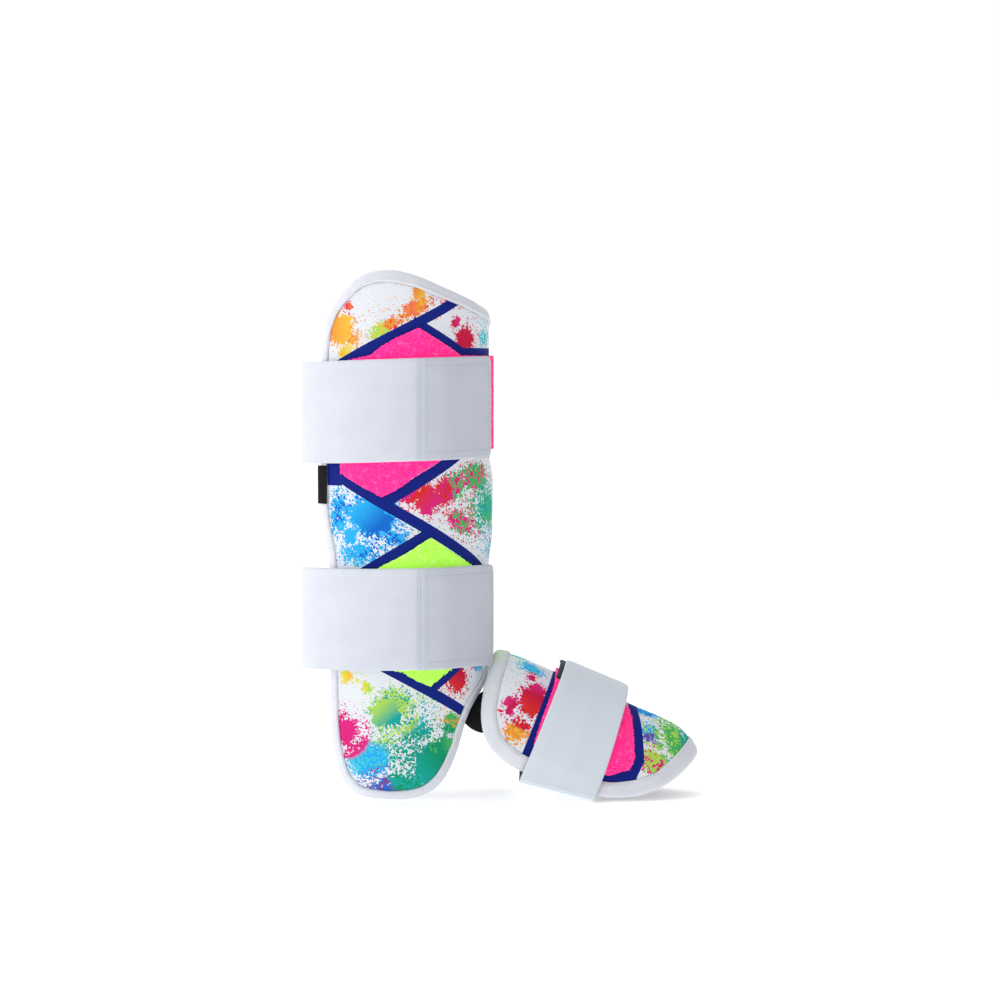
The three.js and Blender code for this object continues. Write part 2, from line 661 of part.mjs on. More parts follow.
const upperLine = { place: UPPER_STRAP_PLACE, rise: UPPER_STRAP_RISE, sag: UPPER_STRAP_SAG };
const lowerLine = { place: LOWER_STRAP_PLACE, rise: LOWER_STRAP_RISE, sag: LOWER_STRAP_SAG };
const shin = [shinPoint, shinOutline];
const foot = [footPoint, footOutline];
const shinPad = paddedShell(...shin, shinMiddle, SHIN_PAD_THICKNESS, SHIN_BINDING_WIDTH, SHIN_RINGS);
const footPad = paddedShell(...foot, footMiddle, FOOT_PAD_THICKNESS, FOOT_BINDING_WIDTH, FOOT_RINGS);
addPiece("shin_pad", PRINT, shinPad);
addPiece("shin_binding", BINDING, foldedBinding(...shin, SHIN_PAD_THICKNESS, SHIN_BINDING_WIDTH));
addPiece("upper_loop_panel", PINK_LOOP, shinPanel(UPPER_LOOP));
addPiece("lower_loop_panel", LIME_LOOP, shinPanel(LOWER_LOOP));
addPiece("upper_strap", ELASTIC, shinStrap(upperLine));
addPiece("upper_strap_tab", ELASTIC, shinTab(upperLine, UPPER_TAB_END_TURN));
addPiece("lower_strap", ELASTIC, shinStrap(lowerLine));
addPiece("lower_strap_tab", ELASTIC, shinTab(lowerLine, LOWER_TAB_END_TURN));
addPiece("side_label", BLACK_ELASTIC, sideLabel());
addPiece("foot_pad", PRINT, footPad);
addPiece("foot_binding", BINDING, foldedBinding(...foot, FOOT_PAD_THICKNESS, FOOT_BINDING_WIDTH));
addPiece("foot_loop_panel", PINK_LOOP, footPanel(FOOT_LOOP));
addPiece("foot_strap", ELASTIC, footStrap());
addPiece("foot_strap_tab", ELASTIC, footTab());
addPiece("ankle_link", BLACK_ELASTIC, ankleLink());

// The origin is the middle of the guard's box, on the floor.
const box = new THREE.Box3().setFromObject(guard);
const middle = box.getCenter(new THREE.Vector3());
guard.position.set(-middle.x, -middle.y, -box.min.z);

export default guard;
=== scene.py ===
"""A batter's leg guard with a joined foot guard, laid out as an add-on: shells of padded mesh cloth, rolled
binding, brushed loop fabric, elastic straps and their stitches, each made from a formula on a grid.

Shapes are worked out in millimetres from the leg's axis on the floor, and new_piece moves them to metres.
"""

import math

import bmesh
import bpy
import numpy as np
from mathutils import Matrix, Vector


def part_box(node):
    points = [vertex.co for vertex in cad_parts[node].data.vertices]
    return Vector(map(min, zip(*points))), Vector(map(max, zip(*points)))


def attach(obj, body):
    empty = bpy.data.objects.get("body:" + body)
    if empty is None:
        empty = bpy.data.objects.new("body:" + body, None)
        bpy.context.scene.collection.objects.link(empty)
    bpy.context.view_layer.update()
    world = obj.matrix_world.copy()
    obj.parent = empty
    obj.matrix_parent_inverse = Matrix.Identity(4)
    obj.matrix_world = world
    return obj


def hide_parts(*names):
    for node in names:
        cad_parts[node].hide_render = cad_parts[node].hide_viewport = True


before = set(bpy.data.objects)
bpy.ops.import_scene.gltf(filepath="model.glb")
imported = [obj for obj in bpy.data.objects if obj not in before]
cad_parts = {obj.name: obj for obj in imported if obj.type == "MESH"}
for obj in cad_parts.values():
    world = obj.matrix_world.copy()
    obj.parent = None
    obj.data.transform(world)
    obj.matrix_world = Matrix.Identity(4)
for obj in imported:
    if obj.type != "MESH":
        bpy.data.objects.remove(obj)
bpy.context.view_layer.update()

bl_info = {
    "name": "Leg Guard",
    "version": (1, 0, 0),
    "blender": (4, 5, 0),
    "location": "3D View > Sidebar > Leg Guard",
    "description": "Dresses a batter's leg guard in its cloth, binding, loop fabric and elastic",
    "category": "Add Mesh",
}

MM = 0.001

# Shin shell. Lengths are in millimetres, except on the stage. A turn is in degrees round the leg
SHIN_HEIGHT = 333.5
CALF_HALF_LENGTH = 59.6
CALF_HALF_DEPTH = 58
ANKLE_TAPER = 0.24
TAPER_POWER = 2.2
TONGUE_CURL = 11
TONGUE_CURL_HEIGHT = 24
SHIN_PAD_THICKNESS = 8
SHIN_TAPE_WIDTH = 7.6
SHIN_MIDDLE_TURN = 42

# The shin shell's bulge between the straps: its height, where it starts and ends, and where it is full
SHIN_BULGE = 2.4
BULGE_START = (148, 172)
BULGE_END = (200, 220)
BULGE_FULL_TURN = 72

# Foot shell
FOOT_LENGTH = 147.5
FOOT_HALF_WIDTH = 46
FOOT_DEPTH = 63.8
FOOT_PITCH = math.radians(22.8)
FOOT_PAD_THICKNESS = 7
FOOT_TAPE_WIDTH = 9
FOOT_RIDGE_HEIGHT = FOOT_DEPTH + 31
TOE_DROP = 10.5
GUARDS_GAP = 1.8
FALL_RADIUS = (FOOT_HALF_WIDTH + FOOT_DEPTH) / 2

# Tape, loop fabric, elastic and label
TAPE_THICKNESS = 1.4
TAPE_RISE = 0.7
LOOP_THICKNESS = 1.8
STRAP_WIDTH = 63.8
STRAP_THICKNESS = 1.6
TAB_THICKNESS = 1.7
FOOT_STRAP_WIDTH = 48
FOOT_STRAP_WAIST = 0.1
FOOT_TAB_WIDTH = 42
FOOT_TAB_BACK = 3
SOLE_PITCH = math.radians(14)
SOLE_CORNER = 3.5
LABEL_WIDTH = 8
LABEL_HEIGHT = 24
LABEL_DROP = 2.9
LABEL_THICKNESS = 0.7
LINK_THICKNESS = 2

# Gaps between pieces
SEAM_GAP = 0.3
LIP_GAP = 0.4
FABRIC_GAP = 0.5
LINK_GAP = 0.9
STRAP_LIFT = LOOP_THICKNESS + 2 * FABRIC_GAP

# Relief of the cloth: the rings of a shell's grid, the foam's slow swell, the dip beside the tape, the
# tape's round fold and cut edge, the small unevenness of edges, the tab's hem, and the loops' fibres
SHELL_RINGS = 70
SWELL = 0.3
SWELL_LENGTH = 55
SEAM_DIP = 0.3
SEAM_DIP_REACH = 1.6
CALM_REACH = 12
TAPE_ROUNDNESS = 0.82
TAPE_CUT = 0.35
TAPE_RAGGED = 0.2
LOOP_RAGGED = 0.35
LOOP_LUMP = 0.25
HEM_RISE = 0.45
FIBRE_RADIUS = 0.1
FIBRES = 9000

# Places: shares of the shin height, turns round the leg in degrees, and ways round the foot strap's loop
STRAP_ROOT_TURN = 127
TAB_START_TURN = 13.8
TAB_OVERLAP_TURN = 11.2
TAB_STEP_START = 1
TAB_STEP_END = 18
FOOT_STRAP_PLACE = 0.316
FOOT_STRAP_START = -0.07
FOOT_STRAP_END = 0.996
FOOT_TAB_START = -0.085
FOOT_TAB_END = 0.03
SIDE_FALL = math.radians(78)
LABEL_TURN = -47.2

# Each shin strap's place, its rise towards the front as a share of the calf, its sag behind the leg, and
# the turn where its tab ends
STRAP_LINES = {
    "upper_strap": {"place": 0.7385, "rise": 0.036, "sag": 0, "end": 67},
    "lower_strap": {"place": 0.3485, "rise": 0.02, "sag": 6.5, "end": 71},
}

# The leg's axis and the floor in the frame, from the boxes of what stands round them
leg_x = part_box("shin_binding")[1][0] - (CALF_HALF_LENGTH + TAPE_RISE) * MM
leg_y = (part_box("foot_binding")[0][1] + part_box("foot_binding")[1][1]) / 2
floor_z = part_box("foot_strap")[0][2]

# The shin shell's edge, anticlockwise from the tip of the tongue: turn, share of the height
SHIN_OUTLINE = [
    (10, -0.0015), (22.5, 0.0115), (32, 0.036), (42.4, 0.088), (51, 0.15), (58, 0.178), (77, 0.219),
    (90, 0.248), (106, 0.256), (120, 0.272), (129, 0.312), (133, 0.38), (135, 0.5), (135, 0.68),
    (133, 0.81), (128, 0.868), (116, 0.9), (90, 0.925), (67, 0.9385), (36, 0.966), (13, 0.9915),
    (-3, 1), (-20, 0.99), (-34, 0.957), (-43.5, 0.922), (-48.7, 0.88), (-50.8, 0.82), (-51.6, 0.6),
    (-50, 0.535), (-45.5, 0.475), (-43.6, 0.43), (-43.6, 0.2), (-42.3, 0.13), (-38.6, 0.074),
    (-32.5, 0.033), (-23, 0.0075), (-10, -0.0015),
]

# Half of the foot shell's edge from the heel side to the toe: share of the length, fall from the ridge
FOOT_OUTLINE = [
    (0.019, 0), (0.018, 12), (0.019, 25), (0.023, 39), (0.038, 56), (0.066, 69), (0.108, 78.5),
    (0.165, 84.5), (0.25, 88), (0.38, 88.8), (0.52, 87.4), (0.6, 86), (0.67, 84.6), (0.75, 80.5),
    (0.835, 73), (0.905, 61), (0.953, 45), (0.985, 25), (1, 0),
]

# The foot shell's section: share of the length, share of the half width, share of the toe drop
FOOT_SECTIONS = [
    (0, 0.88, 0.1), (0.1, 0.94, 0), (0.3, 1, 0), (0.66, 0.965, 0), (0.8, 0.92, 0.04),
    (0.9, 0.86, 0.24), (1, 0.78, 1),
]

# Loop panels on the shin: turn, lowest and highest share of the height
UPPER_LOOP = [
    (-32.5, 0.621, 0.828), (-23.5, 0.604, 0.834), (-13, 0.587, 0.841), (-6.6, 0.5765, 0.857),
    (1.5, 0.5885, 0.872), (15.5, 0.619, 0.892), (26, 0.638, 0.872), (35, 0.656, 0.856),
    (44, 0.66, 0.84), (60, 0.662, 0.84), (75, 0.664, 0.84), (118, 0.664, 0.84),
]
LOWER_LOOP = [
    (-30, 0.29, 0.405), (-19, 0.272, 0.427), (-7.5, 0.256, 0.446), (5.5, 0.248, 0.467),
    (14, 0.231, 0.484), (22.5, 0.22, 0.5), (29, 0.236, 0.4875), (36.3, 0.251, 0.474),
    (45, 0.27, 0.4585), (54, 0.28, 0.443), (66, 0.285, 0.42), (80, 0.285, 0.4), (100, 0.29, 0.4),
    (118, 0.315, 0.4),
]

# The loop panel on the foot: fall, heel and toe share of the length
FOOT_LOOP = [
    (-72, 0.313, 0.66), (-64, 0.308, 0.735), (-56, 0.305, 0.737), (-43, 0.305, 0.7),
    (-28, 0.303, 0.665), (-15, 0.297, 0.628), (0, 0.293, 0.6), (15, 0.297, 0.628), (28, 0.303, 0.665),
    (43, 0.305, 0.7), (56, 0.307, 0.72),
]

# How far the shin straps stand off the shell: turn, share of the lift over the loop fabric
STRAP_STAND = [
    (-90, -0.5), (-72, 0.05), (-58, 0.7), (-48, 0.85), (-36, 1), (110, 1), (125, 0.45), (136, 0.45),
    (156, 0.3), (180, -0.4), (225, -1), (270, -0.5),
]

# The foot strap's lift: way round its loop, share of its lift over the fabric, share of its own layers
# that it lies above
FOOT_STRAP_LIFT = [
    (-0.1, 1.9, 0), (0.03, 1.9, 0), (0.08, 1.6, 0), (0.16, 1, 0), (0.72, 1, 0), (0.8, 1, 0.5),
    (0.86, 1.3, 0.9), (0.9, 1.9, 1), (1, 1.9, 1),
]

# The link's seats: turn and share of the height on the shin, share of the length and fall on the foot
LINK_SHIN_TOP = [(50, 0.205), (59.5, 0.168)]
LINK_SHIN_BOTTOM = [(47, 0.177), (57, 0.15)]
LINK_FOOT_TOP = [(0.05, 48), (0.1, 50)]
LINK_FOOT_BOTTOM = [(0.09, 77), (0.14, 75)]

# Paints of the print, as they look on a screen
PAINTS = {
    "orange": (243, 150, 52),
    "amber": (246, 190, 60),
    "coral": (250, 110, 80),
    "yellow": (232, 222, 70),
    "lime": (176, 222, 84),
    "green": (70, 186, 96),
    "jade": (4, 152, 108),
    "teal": (12, 170, 158),
    "cyan": (70, 205, 225),
    "sky": (38, 178, 242),
    "blue": (8, 108, 208),
    "purple": (118, 70, 150),
    "magenta": (226, 34, 128),
    "crimson": (206, 16, 62),
    "red": (226, 44, 40),
}

# Shares of its colour that a fabric gives out as light: a painted glow that brightens it past the lamps
LOOP_GLOW = 0.42
PRINT_GLOW = 0.1

# How the print is laid: the turn of the mesh's rows, how far the paint's edges waver, and the halo of
# drops round a splash as a share of its reach and as a density
MESH_TURN = 0.55
WAVER = 2.4
HALO_REACH = 1.6
HALO_DENSITY = 0.9

# Drops of paint: size, gain on the amount of paint, how much paint is too little for them, seed
DROPS = [(3.4, 1.4, 0.6, 3), (2.1, 1.7, 0.4, 7), (1.35, 1.85, 0.14, 12)]

# Sprays of fine drops on the shin: middle, reach, turn in degrees, density, paint, second paint
SHIN_SPRAYS = [
    ((-8, 302), (60, 34), 0, 0.34, "amber", "coral"),
    ((70, 298), (60, 26), 0, 0.42, "sky", "crimson"),
    ((-10, 172), (60, 48), 0, 0.6, "sky", "cyan"),
    ((70, 182), (70, 46), 0, 0.7, "green", "magenta"),
    ((0, 34), (64, 50), 0, 0.66, "sky", "teal"),
    ((20, 64), (50, 22), 0, 0.5, "lime", "cyan"),
    ((-30, 291), (22, 16), 0, 0.8, "yellow", "orange"),
    ((-5, 297), (22, 10), 27, 1.0, "lime", "amber"),
    ((14, 309), (23, 11), 27, 1.0, "orange", "red"),
    ((38, 313), (15, 5), -15, 0.9, "red", "coral"),
    ((8, 325), (13, 2.5), 0, 0.6, "amber", "orange"),
    ((47, 297), (19, 11), 0, 0.5, "crimson", "crimson"),
    ((76, 292), (24, 14), 0, 0.7, "cyan", "teal"),
    ((112, 298), (26, 14), 0, 0.8, "lime", "sky"),
    ((-12, 180), (28, 22), 0, 1.3, "sky", "blue"),
    ((-36, 182), (16, 32), 0, 0.9, "sky", "cyan"),
    ((-22, 157), (28, 15), 0, 0.9, "sky", "cyan"),
    ((2, 167), (16, 11), 0, 0.95, "purple", "lime"),
    ((12, 193), (14, 9), 30, 1.1, "purple", "magenta"),
    ((38, 197), (22, 14), 30, 1.35, "teal", "green"),
    ((60, 204), (26, 17), 0, 1.1, "green", "magenta"),
    ((46, 176), (24, 13), -30, 1.0, "magenta", "green"),
    ((76, 184), (20, 20), 0, 1.15, "teal", "green"),
    ((84, 158), (26, 16), 0, 0.75, "cyan", "purple"),
    ((112, 190), (26, 26), 0, 0.9, "sky", "lime"),
    ((-26, 78), (22, 14), 0, 0.5, "yellow", "lime"),
    ((2, 63), (27, 20), 0, 0.9, "lime", "green"),
    ((-35, 50), (15, 22), 0, 0.7, "magenta", "sky"),
    ((-16, 28), (30, 24), 0, 1.1, "sky", "cyan"),
    ((8, 12), (36, 14), 0, 1.0, "sky", "purple"),
    ((-2, 6), (30, 11), 0, 1.1, "blue", "purple"),
    ((14, 46), (30, 19), 0, 0.85, "teal", "cyan"),
    ((28, 24), (24, 22), 40, 1.6, "teal", "cyan"),
    ((40, 49), (17, 15), 0, 1.0, "green", "orange"),
    ((45, 78), (13, 10), 0, 0.8, "orange", "red"),
    ((64, 86), (14, 10), 0, 0.95, "sky", "blue"),
]

# Splashes of paint on the shin: middle, reach, turn of their fade in degrees, paint, second paint
SHIN_SPLASHES = [
    ((-35.5, 297), 13.5, 0, "orange", "amber"),
    ((50.4, 290), 11, 60, "crimson", "crimson"),
    ((42.6, 300.8), 4.6, 0, "crimson", "magenta"),
    ((13.8, 311.2), 5, 0, "coral", "orange"),
    ((17, 319), 5.4, 0, "orange", "amber"),
    ((27, 306), 4, 0, "orange", "orange"),
    ((-31.6, 282), 5, 0, "amber", "yellow"),
    ((-28.7, 310.7), 3.6, 0, "red", "coral"),
    ((-30.9, 316.2), 2.6, 0, "red", "coral"),
    ((-14.6, 181), 19, -50, "sky", "blue"),
    ((-28, 168), 7, 0, "sky", "sky"),
    ((22.2, 191), 12.5, -40, "red", "magenta"),
    ((-4, 57.5), 14, -50, "lime", "teal"),
    ((-32.1, 45), 12, 0, "magenta", "magenta"),
    ((-30.5, 79.6), 5.5, 0, "yellow", "amber"),
    ((-16.7, 72.6), 4.4, 0, "yellow", "lime"),
    ((44.1, 76.5), 11, 60, "red", "crimson"),
    ((25, 21.3), 19, 40, "teal", "jade"),
    ((33.9, 36.4), 8, 0, "jade", "green"),
]

# Sprays and splashes on the foot, as on the shin, with the middle as way along the ridge and round it
FOOT_SPRAYS = [
    ((124, 0), (40, 95), 0, 0.7, "cyan", "lime"),
    ((22, 0), (30, 95), 0, 0.36, "magenta", "sky"),
    ((16, 0), (18, 12), 0, 1.2, "cyan", "green"),
    ((28, -17), (18, 14), 0, 0.95, "sky", "cyan"),
    ((32, -44), (14, 18), 0, 0.6, "crimson", "magenta"),
    ((33, -65), (14, 13), 0, 1.1, "orange", "amber"),
    ((21, -57), (9, 12), 0, 0.6, "coral", "orange"),
    ((106, -9), (18, 13), 0, 1.0, "sky", "blue"),
    ((112, -32), (17, 18), 0, 0.95, "sky", "lime"),
    ((119, -38), (12, 8), 0, 0.8, "purple", "blue"),
    ((122, -50), (19, 13), 0, 1.2, "lime", "magenta"),
    ((131, -26), (17, 28), 25, 1.3, "green", "lime"),
    ((142, -10), (13, 24), 0, 1.7, "teal", "green"),
    ((124, 26), (22, 24), 0, 0.9, "sky", "teal"),
    ((26, 34), (16, 26), 0, 0.8, "sky", "lime"),
    ((30, 66), (16, 14), 0, 0.8, "magenta", "orange"),
    ((122, 55), (18, 12), 0, 0.9, "lime", "magenta"),
]
FOOT_SPLASHES = [
    ((35, -45), 12.5, 90, "red", "crimson"),
    ((36, -36), 8, 90, "crimson", "magenta"),
    ((30, -27), 4, 0, "magenta", "crimson"),
    ((23.5, -51.5), 5.6, 0, "magenta", "crimson"),
    ((24.5, -56.5), 4, 0, "crimson", "magenta"),
    ((32, 40), 13, 0, "sky", "blue"),
    ((121, 40), 13, 0, "lime", "green"),
]

# Printed bands on the shin, one run of corners each with its width
SHIN_BANDS = [
    (6.2, [(-38, 273.3), (47, 316.4)]),
    (6, [(-38, 267), (-8, 282.5)]),
    (5, [(14, 301.4), (48.2, 282.6), (126, 282.6)]),
    (6.8, [(-48, 212), (66, 147), (84, 136), (126, 136)]),
    (13, [(-40, 203), (-40, 219)]),
    (7.3, [(-5, 189), (46, 219.4), (126, 219.4)]),
    (6.8, [(22, 169), (-27, 140)]),
    (6.5, [(-17, 91.9), (54, 53.4)]),
    (5.4, [(25, 71.6), (52, 90.5), (84, 92), (126, 98)]),
]

# Printed bands on the near side of the foot, repeated on its far side
FOOT_BANDS = [
    (6.4, [(44.9, 0), (44.9, 78)]),
    (6.4, [(96.3, 0), (97.7, 14), (101.5, 26), (106.6, 40.5), (112, 53.8), (111.2, 64)]),
    (9.4, [(111.2, 64), (98.6, 73), (80, 78), (46, 80.5)]),
]


# Stage, in metres and watts
LIGHTS = {
    "Key": {"at": (-1.6, -1.7, 1.5), "size": 1.8, "power": 10},
    "Top": {"at": (-0.1, 0.1, 2.4), "size": 2.4, "power": 12},
}
LIGHT_AIM_HEIGHT = 0.17
FLOOR_REACH = 60
FLOOR_WHITE = 0.9
FLOOR_GLOW = 0.4
ROOM_WHITE = (0.985, 0.99, 1, 1)
ROOM_SLOPE = (-0.52, 0.4, 0.1)
ROOM_LEVEL = 0.7
CAMERA_AT = (0, -2.0421, 0.2652)
CAMERA_TILT = math.radians(2.15)
CAMERA_LENS = 115.2
CAMERA_SENSOR = 36
CAMERA_FAR = 200


def linear(colour):
    """A colour given as it looks on a screen, from 0 to 255, as the linear values that shaders take."""
    values = np.array(colour) / 255
    curve = np.where(values <= 0.04045, values / 12.92, ((values + 0.055) / 1.055) ** 2.4)
    return (*curve.tolist(), 1.0)


def length_property(name, description, millimetres):
    return bpy.props.FloatProperty(
        name=name,
        description=description,
        default=millimetres * MM,
        unit="LENGTH",
    )


def colour_property(name, description, colour):
    return bpy.props.FloatVectorProperty(
        name=name,
        description=description,
        default=linear(colour),
        size=4,
        min=0,
        max=1,
        subtype="COLOR",
    )


class GuardSizes(bpy.types.PropertyGroup):
    """Sizes of the cloth's own detail."""

    mesh_pitch: length_property("Mesh pitch", "From one hole of the air mesh to the next", 1.8)
    plump: length_property("Tape plump", "How far the binding swells between its edges", 0.5)
    pucker: length_property("Tape pucker", "Depth of the small folds in the binding", 0.22)
    stitch_pitch: length_property("Stitch pitch", "From one stitch to the next", 2.6)
    loop_rise: length_property("Loop rise", "How far the loops stand above their fabric", 1.2)


class GuardColours(bpy.types.PropertyGroup):
    """Colours of the fabrics. A shade is the tone of the faint clouds in a woven piece."""

    cloth: colour_property("Cloth", "White ground of the print", (228, 232, 240))
    cloth_light: colour_property("Cloth clouds", "Lighter clouds in the white ground", (238, 240, 246))
    holes: colour_property("Mesh holes", "Shadow in the holes of the air mesh", (60, 70, 120))
    bands: colour_property("Bands", "Printed bands", (4, 30, 128))
    lining: colour_property("Lining", "Inner side of the shells", (50, 52, 58))
    # Loop colours: a painted highlight where the loops stand up and painted shade between them.
    pink: colour_property("Pink loops", "Loop fabric on the foot and under the upper strap", (255, 52, 158))
    pink_tip_highlight: colour_property("Pink tip highlight", "Where the pink loops stand up", (255, 104, 182))
    pink_root_shade: colour_property("Pink root shade", "Between the pink loops", (244, 16, 128))
    lime: colour_property("Lime loops", "Loop fabric under the lower strap", (190, 244, 96))
    lime_tip_highlight: colour_property("Lime tip highlight", "Where the lime loops stand up", (214, 252, 140))
    lime_root_shade: colour_property("Lime root shade", "Between the lime loops", (160, 226, 66))
    tape: colour_property("Tape", "Binding tape", (232, 234, 241))
    tape_shade: colour_property("Tape shade", "Clouds in the binding tape", (224, 227, 236))
    tape_thread: colour_property("Tape thread", "Stitches in the tape", (188, 192, 206))
    tape_thread_shade: colour_property("Tape thread shade", "Clouds in that thread", (180, 184, 198))
    elastic: colour_property("Elastic", "Shin straps", (223, 227, 237))
    elastic_shade: colour_property("Elastic shade", "Clouds in the shin straps", (215, 220, 231))
    # The tabs are a darker copy of the elastic: painted shade for the right side, away from the key light.
    tab: colour_property("Tabs", "Tabs of the shin straps", (208, 213, 224))
    tab_shade: colour_property("Tab shade", "Clouds in the tabs", (202, 207, 218))
    # The tab stitches are greyer than the white thread they stand for: painted shade of the stitch holes.
    thread: colour_property("Thread", "Stitches in the tabs", (176, 182, 198))
    thread_shade: colour_property("Thread shade", "Clouds in that thread", (168, 174, 190))
    foot_elastic: colour_property("Foot elastic", "Outer side of the foot strap", (223, 231, 240))
    foot_elastic_shade: colour_property("Foot elastic shade", "Clouds in the foot strap", (216, 225, 235))
    # The foot strap's inner side is dark grey all over.
    foot_strap_inside: colour_property("Foot strap inside", "Inner side of the foot strap", (45, 50, 58))
    hook_tape: colour_property("Hook tape", "The foot strap's tab", (52, 58, 68))
    hook_tape_shade: colour_property("Hook tape shade", "Clouds in the foot strap's tab", (66, 72, 82))
    black: colour_property("Black", "Side label and link", (10, 10, 13))
    black_shade: colour_property("Black shade", "Clouds in the label and link", (22, 22, 26))


def sizes():
    return bpy.context.scene.guard_sizes


def colours(*names):
    """The chosen colours of these names, as plain values for the shaders."""
    return [tuple(getattr(bpy.context.scene.guard_colours, name)) for name in names]


# Surfaces


def place(x, y, z):
    """Points as an array whose last axis is x, y, z."""
    return np.stack(np.broadcast_arrays(x, y, z), axis=-1)


def calf_depth(z):
    """Half depth of the shin shell at a height: it falls with a power of the way down, and the tongue's
    tip loses the square of its own share."""
    up = np.clip(z / SHIN_HEIGHT, 0, 1)
    curl = np.maximum(0, 1 - z / TONGUE_CURL_HEIGHT)
    return CALF_HALF_DEPTH * (1 - ANKLE_TAPER * (1 - up) ** TAPER_POWER) - TONGUE_CURL * curl**2


def shin_point(way, z, lift):
    """A point of the shin shell: the ellipse A sin t, -B cos t at height z, where t is way over A, moved
    along the surface's normal by lift."""
    way, z, lift = np.broadcast_arrays(way, z, lift)
    turn = way / CALF_HALF_LENGTH
    depth = calf_depth(z)
    slope = calf_depth(z + 0.5) - calf_depth(z - 0.5)
    along = place(CALF_HALF_LENGTH * np.cos(turn), depth * np.sin(turn), 0)
    up = place(0, -slope * np.cos(turn), 1)
    normal = np.cross(along, up)
    normal /= np.linalg.norm(normal, axis=-1, keepdims=True)
    return place(CALF_HALF_LENGTH * np.sin(turn), -depth * np.cos(turn), z) + normal * lift[..., None]


def turn_way(turn):
    return np.radians(turn) * CALF_HALF_LENGTH


def fall_way(fall):
    return np.radians(fall) * FALL_RADIUS


def smooth_rows(rows, x):
    """Values of a table at x on cubic curves through its rows, whose slopes are those of the straight
    lines on both sides, weighted by their lengths."""
    table = np.array(rows, float)
    keys = table[:, 0]
    slopes = np.gradient(table[:, 1:], keys, axis=0)
    x = np.clip(np.asarray(x, float), keys[0], keys[-1])
    i = np.clip(np.searchsorted(keys, x) - 1, 0, len(keys) - 2)
    step = (keys[i + 1] - keys[i])[..., None]
    t = ((x - keys[i]) / step[..., 0])[..., None]
    low, high = table[i, 1:], table[i + 1, 1:]
    bend = slopes[i] * step * (t**3 - 2 * t**2 + t) + slopes[i + 1] * step * (t**3 - t**2)
    return low * (2 * t**3 - 3 * t**2 + 1) + high * (3 * t**2 - 2 * t**3) + bend


def foot_frame(u, y, n):
    """The point at u along the ridge, y across and n square to the ridge, which falls at FOOT_PITCH."""
    x = CALF_HALF_LENGTH + TAPE_RISE + GUARDS_GAP + u * math.cos(FOOT_PITCH) + n * math.sin(FOOT_PITCH)
    return place(x, y, FOOT_RIDGE_HEIGHT - u * math.sin(FOOT_PITCH) + n * math.cos(FOOT_PITCH))


def foot_section(u):
    """Half width and ridge height of the foot shell's section at u."""
    row = smooth_rows(FOOT_SECTIONS, np.clip(u / FOOT_LENGTH, 0, 1))
    return FOOT_HALF_WIDTH * row[..., 0], -TOE_DROP * row[..., 1]


def foot_point(u, w, lift):
    """A point of the foot shell: half an ellipse y = width sin f, n = top - depth (1 - cos f), where f is
    w over the fall radius, moved along the ellipse's normal by lift."""
    u, w, lift = np.broadcast_arrays(u, w, lift)
    fall = w / FALL_RADIUS
    width, top = foot_section(u)
    side, rise = FOOT_DEPTH * np.sin(fall), width * np.cos(fall)
    length = np.hypot(side, rise)
    y = width * np.sin(fall) + lift * side / length
    return foot_frame(u, y, top - FOOT_DEPTH * (1 - np.cos(fall)) + lift * rise / length)


def foot_across(w, u, lift):
    """The foot shell with its way round first, as the fabric patches take it."""
    return foot_point(u, w, lift)


def sole_depth(u):
    """How far below the ridge line the inner face of the foot strap's sole lies."""
    toe = FOOT_STRAP_PLACE * FOOT_LENGTH + FOOT_STRAP_WIDTH
    floor_depth = (FOOT_RIDGE_HEIGHT - toe * math.sin(FOOT_PITCH)) / math.cos(FOOT_PITCH)
    return floor_depth + (toe - u) * math.tan(FOOT_PITCH - SOLE_PITCH) - STRAP_THICKNESS


def foot_loop_point(way, u, lift):
    """A point of the loop that the foot strap runs in: the shell's ellipse down to the side fall, a
    straight side, a round corner and the flat sole, then the same up the near side. way is the share of
    the loop's own length."""
    way, u, lift = np.broadcast_arrays(way, u, lift)
    width, top = foot_section(u)
    fall = np.linspace(0, SIDE_FALL, 40)[:, None, None]
    arch_y = (width + lift) * np.sin(fall)
    arch_n = top + lift - (FOOT_DEPTH + lift) * (1 - np.cos(fall))
    side = arch_y[-1]
    sole = -sole_depth(u) - (lift - STRAP_LIFT)
    turn = np.linspace(0, math.pi / 2, 12)[:, None, None]
    bend_y = side - SOLE_CORNER * (1 - np.cos(turn))
    bend_n = sole + SOLE_CORNER * (1 - np.sin(turn))
    half_y = np.concatenate([arch_y, bend_y])
    half_n = np.concatenate([arch_n, bend_n])
    loop_y = np.concatenate([half_y, -half_y[::-1]])
    loop_n = np.concatenate([half_n, half_n[::-1]])
    run = np.hypot(np.diff(loop_y, axis=0), np.diff(loop_n, axis=0))
    length = np.concatenate([np.zeros_like(run[:1]), np.cumsum(run, axis=0)])
    wanted = (way % 1) * length[-1]
    after = np.clip((length < wanted).sum(axis=0), 1, len(length) - 1)[None]
    low, high = (np.take_along_axis(length, after + k, 0)[0] for k in (-1, 0))
    share = (wanted - low) / np.maximum(high - low, 1e-9)
    y0, y1 = (np.take_along_axis(loop_y, after + k, 0)[0] for k in (-1, 0))
    n0, n1 = (np.take_along_axis(loop_n, after + k, 0)[0] for k in (-1, 0))
    return foot_frame(u, y0 + (y1 - y0) * share, n0 + (n1 - n0) * share)


# Outlines, noise and grids


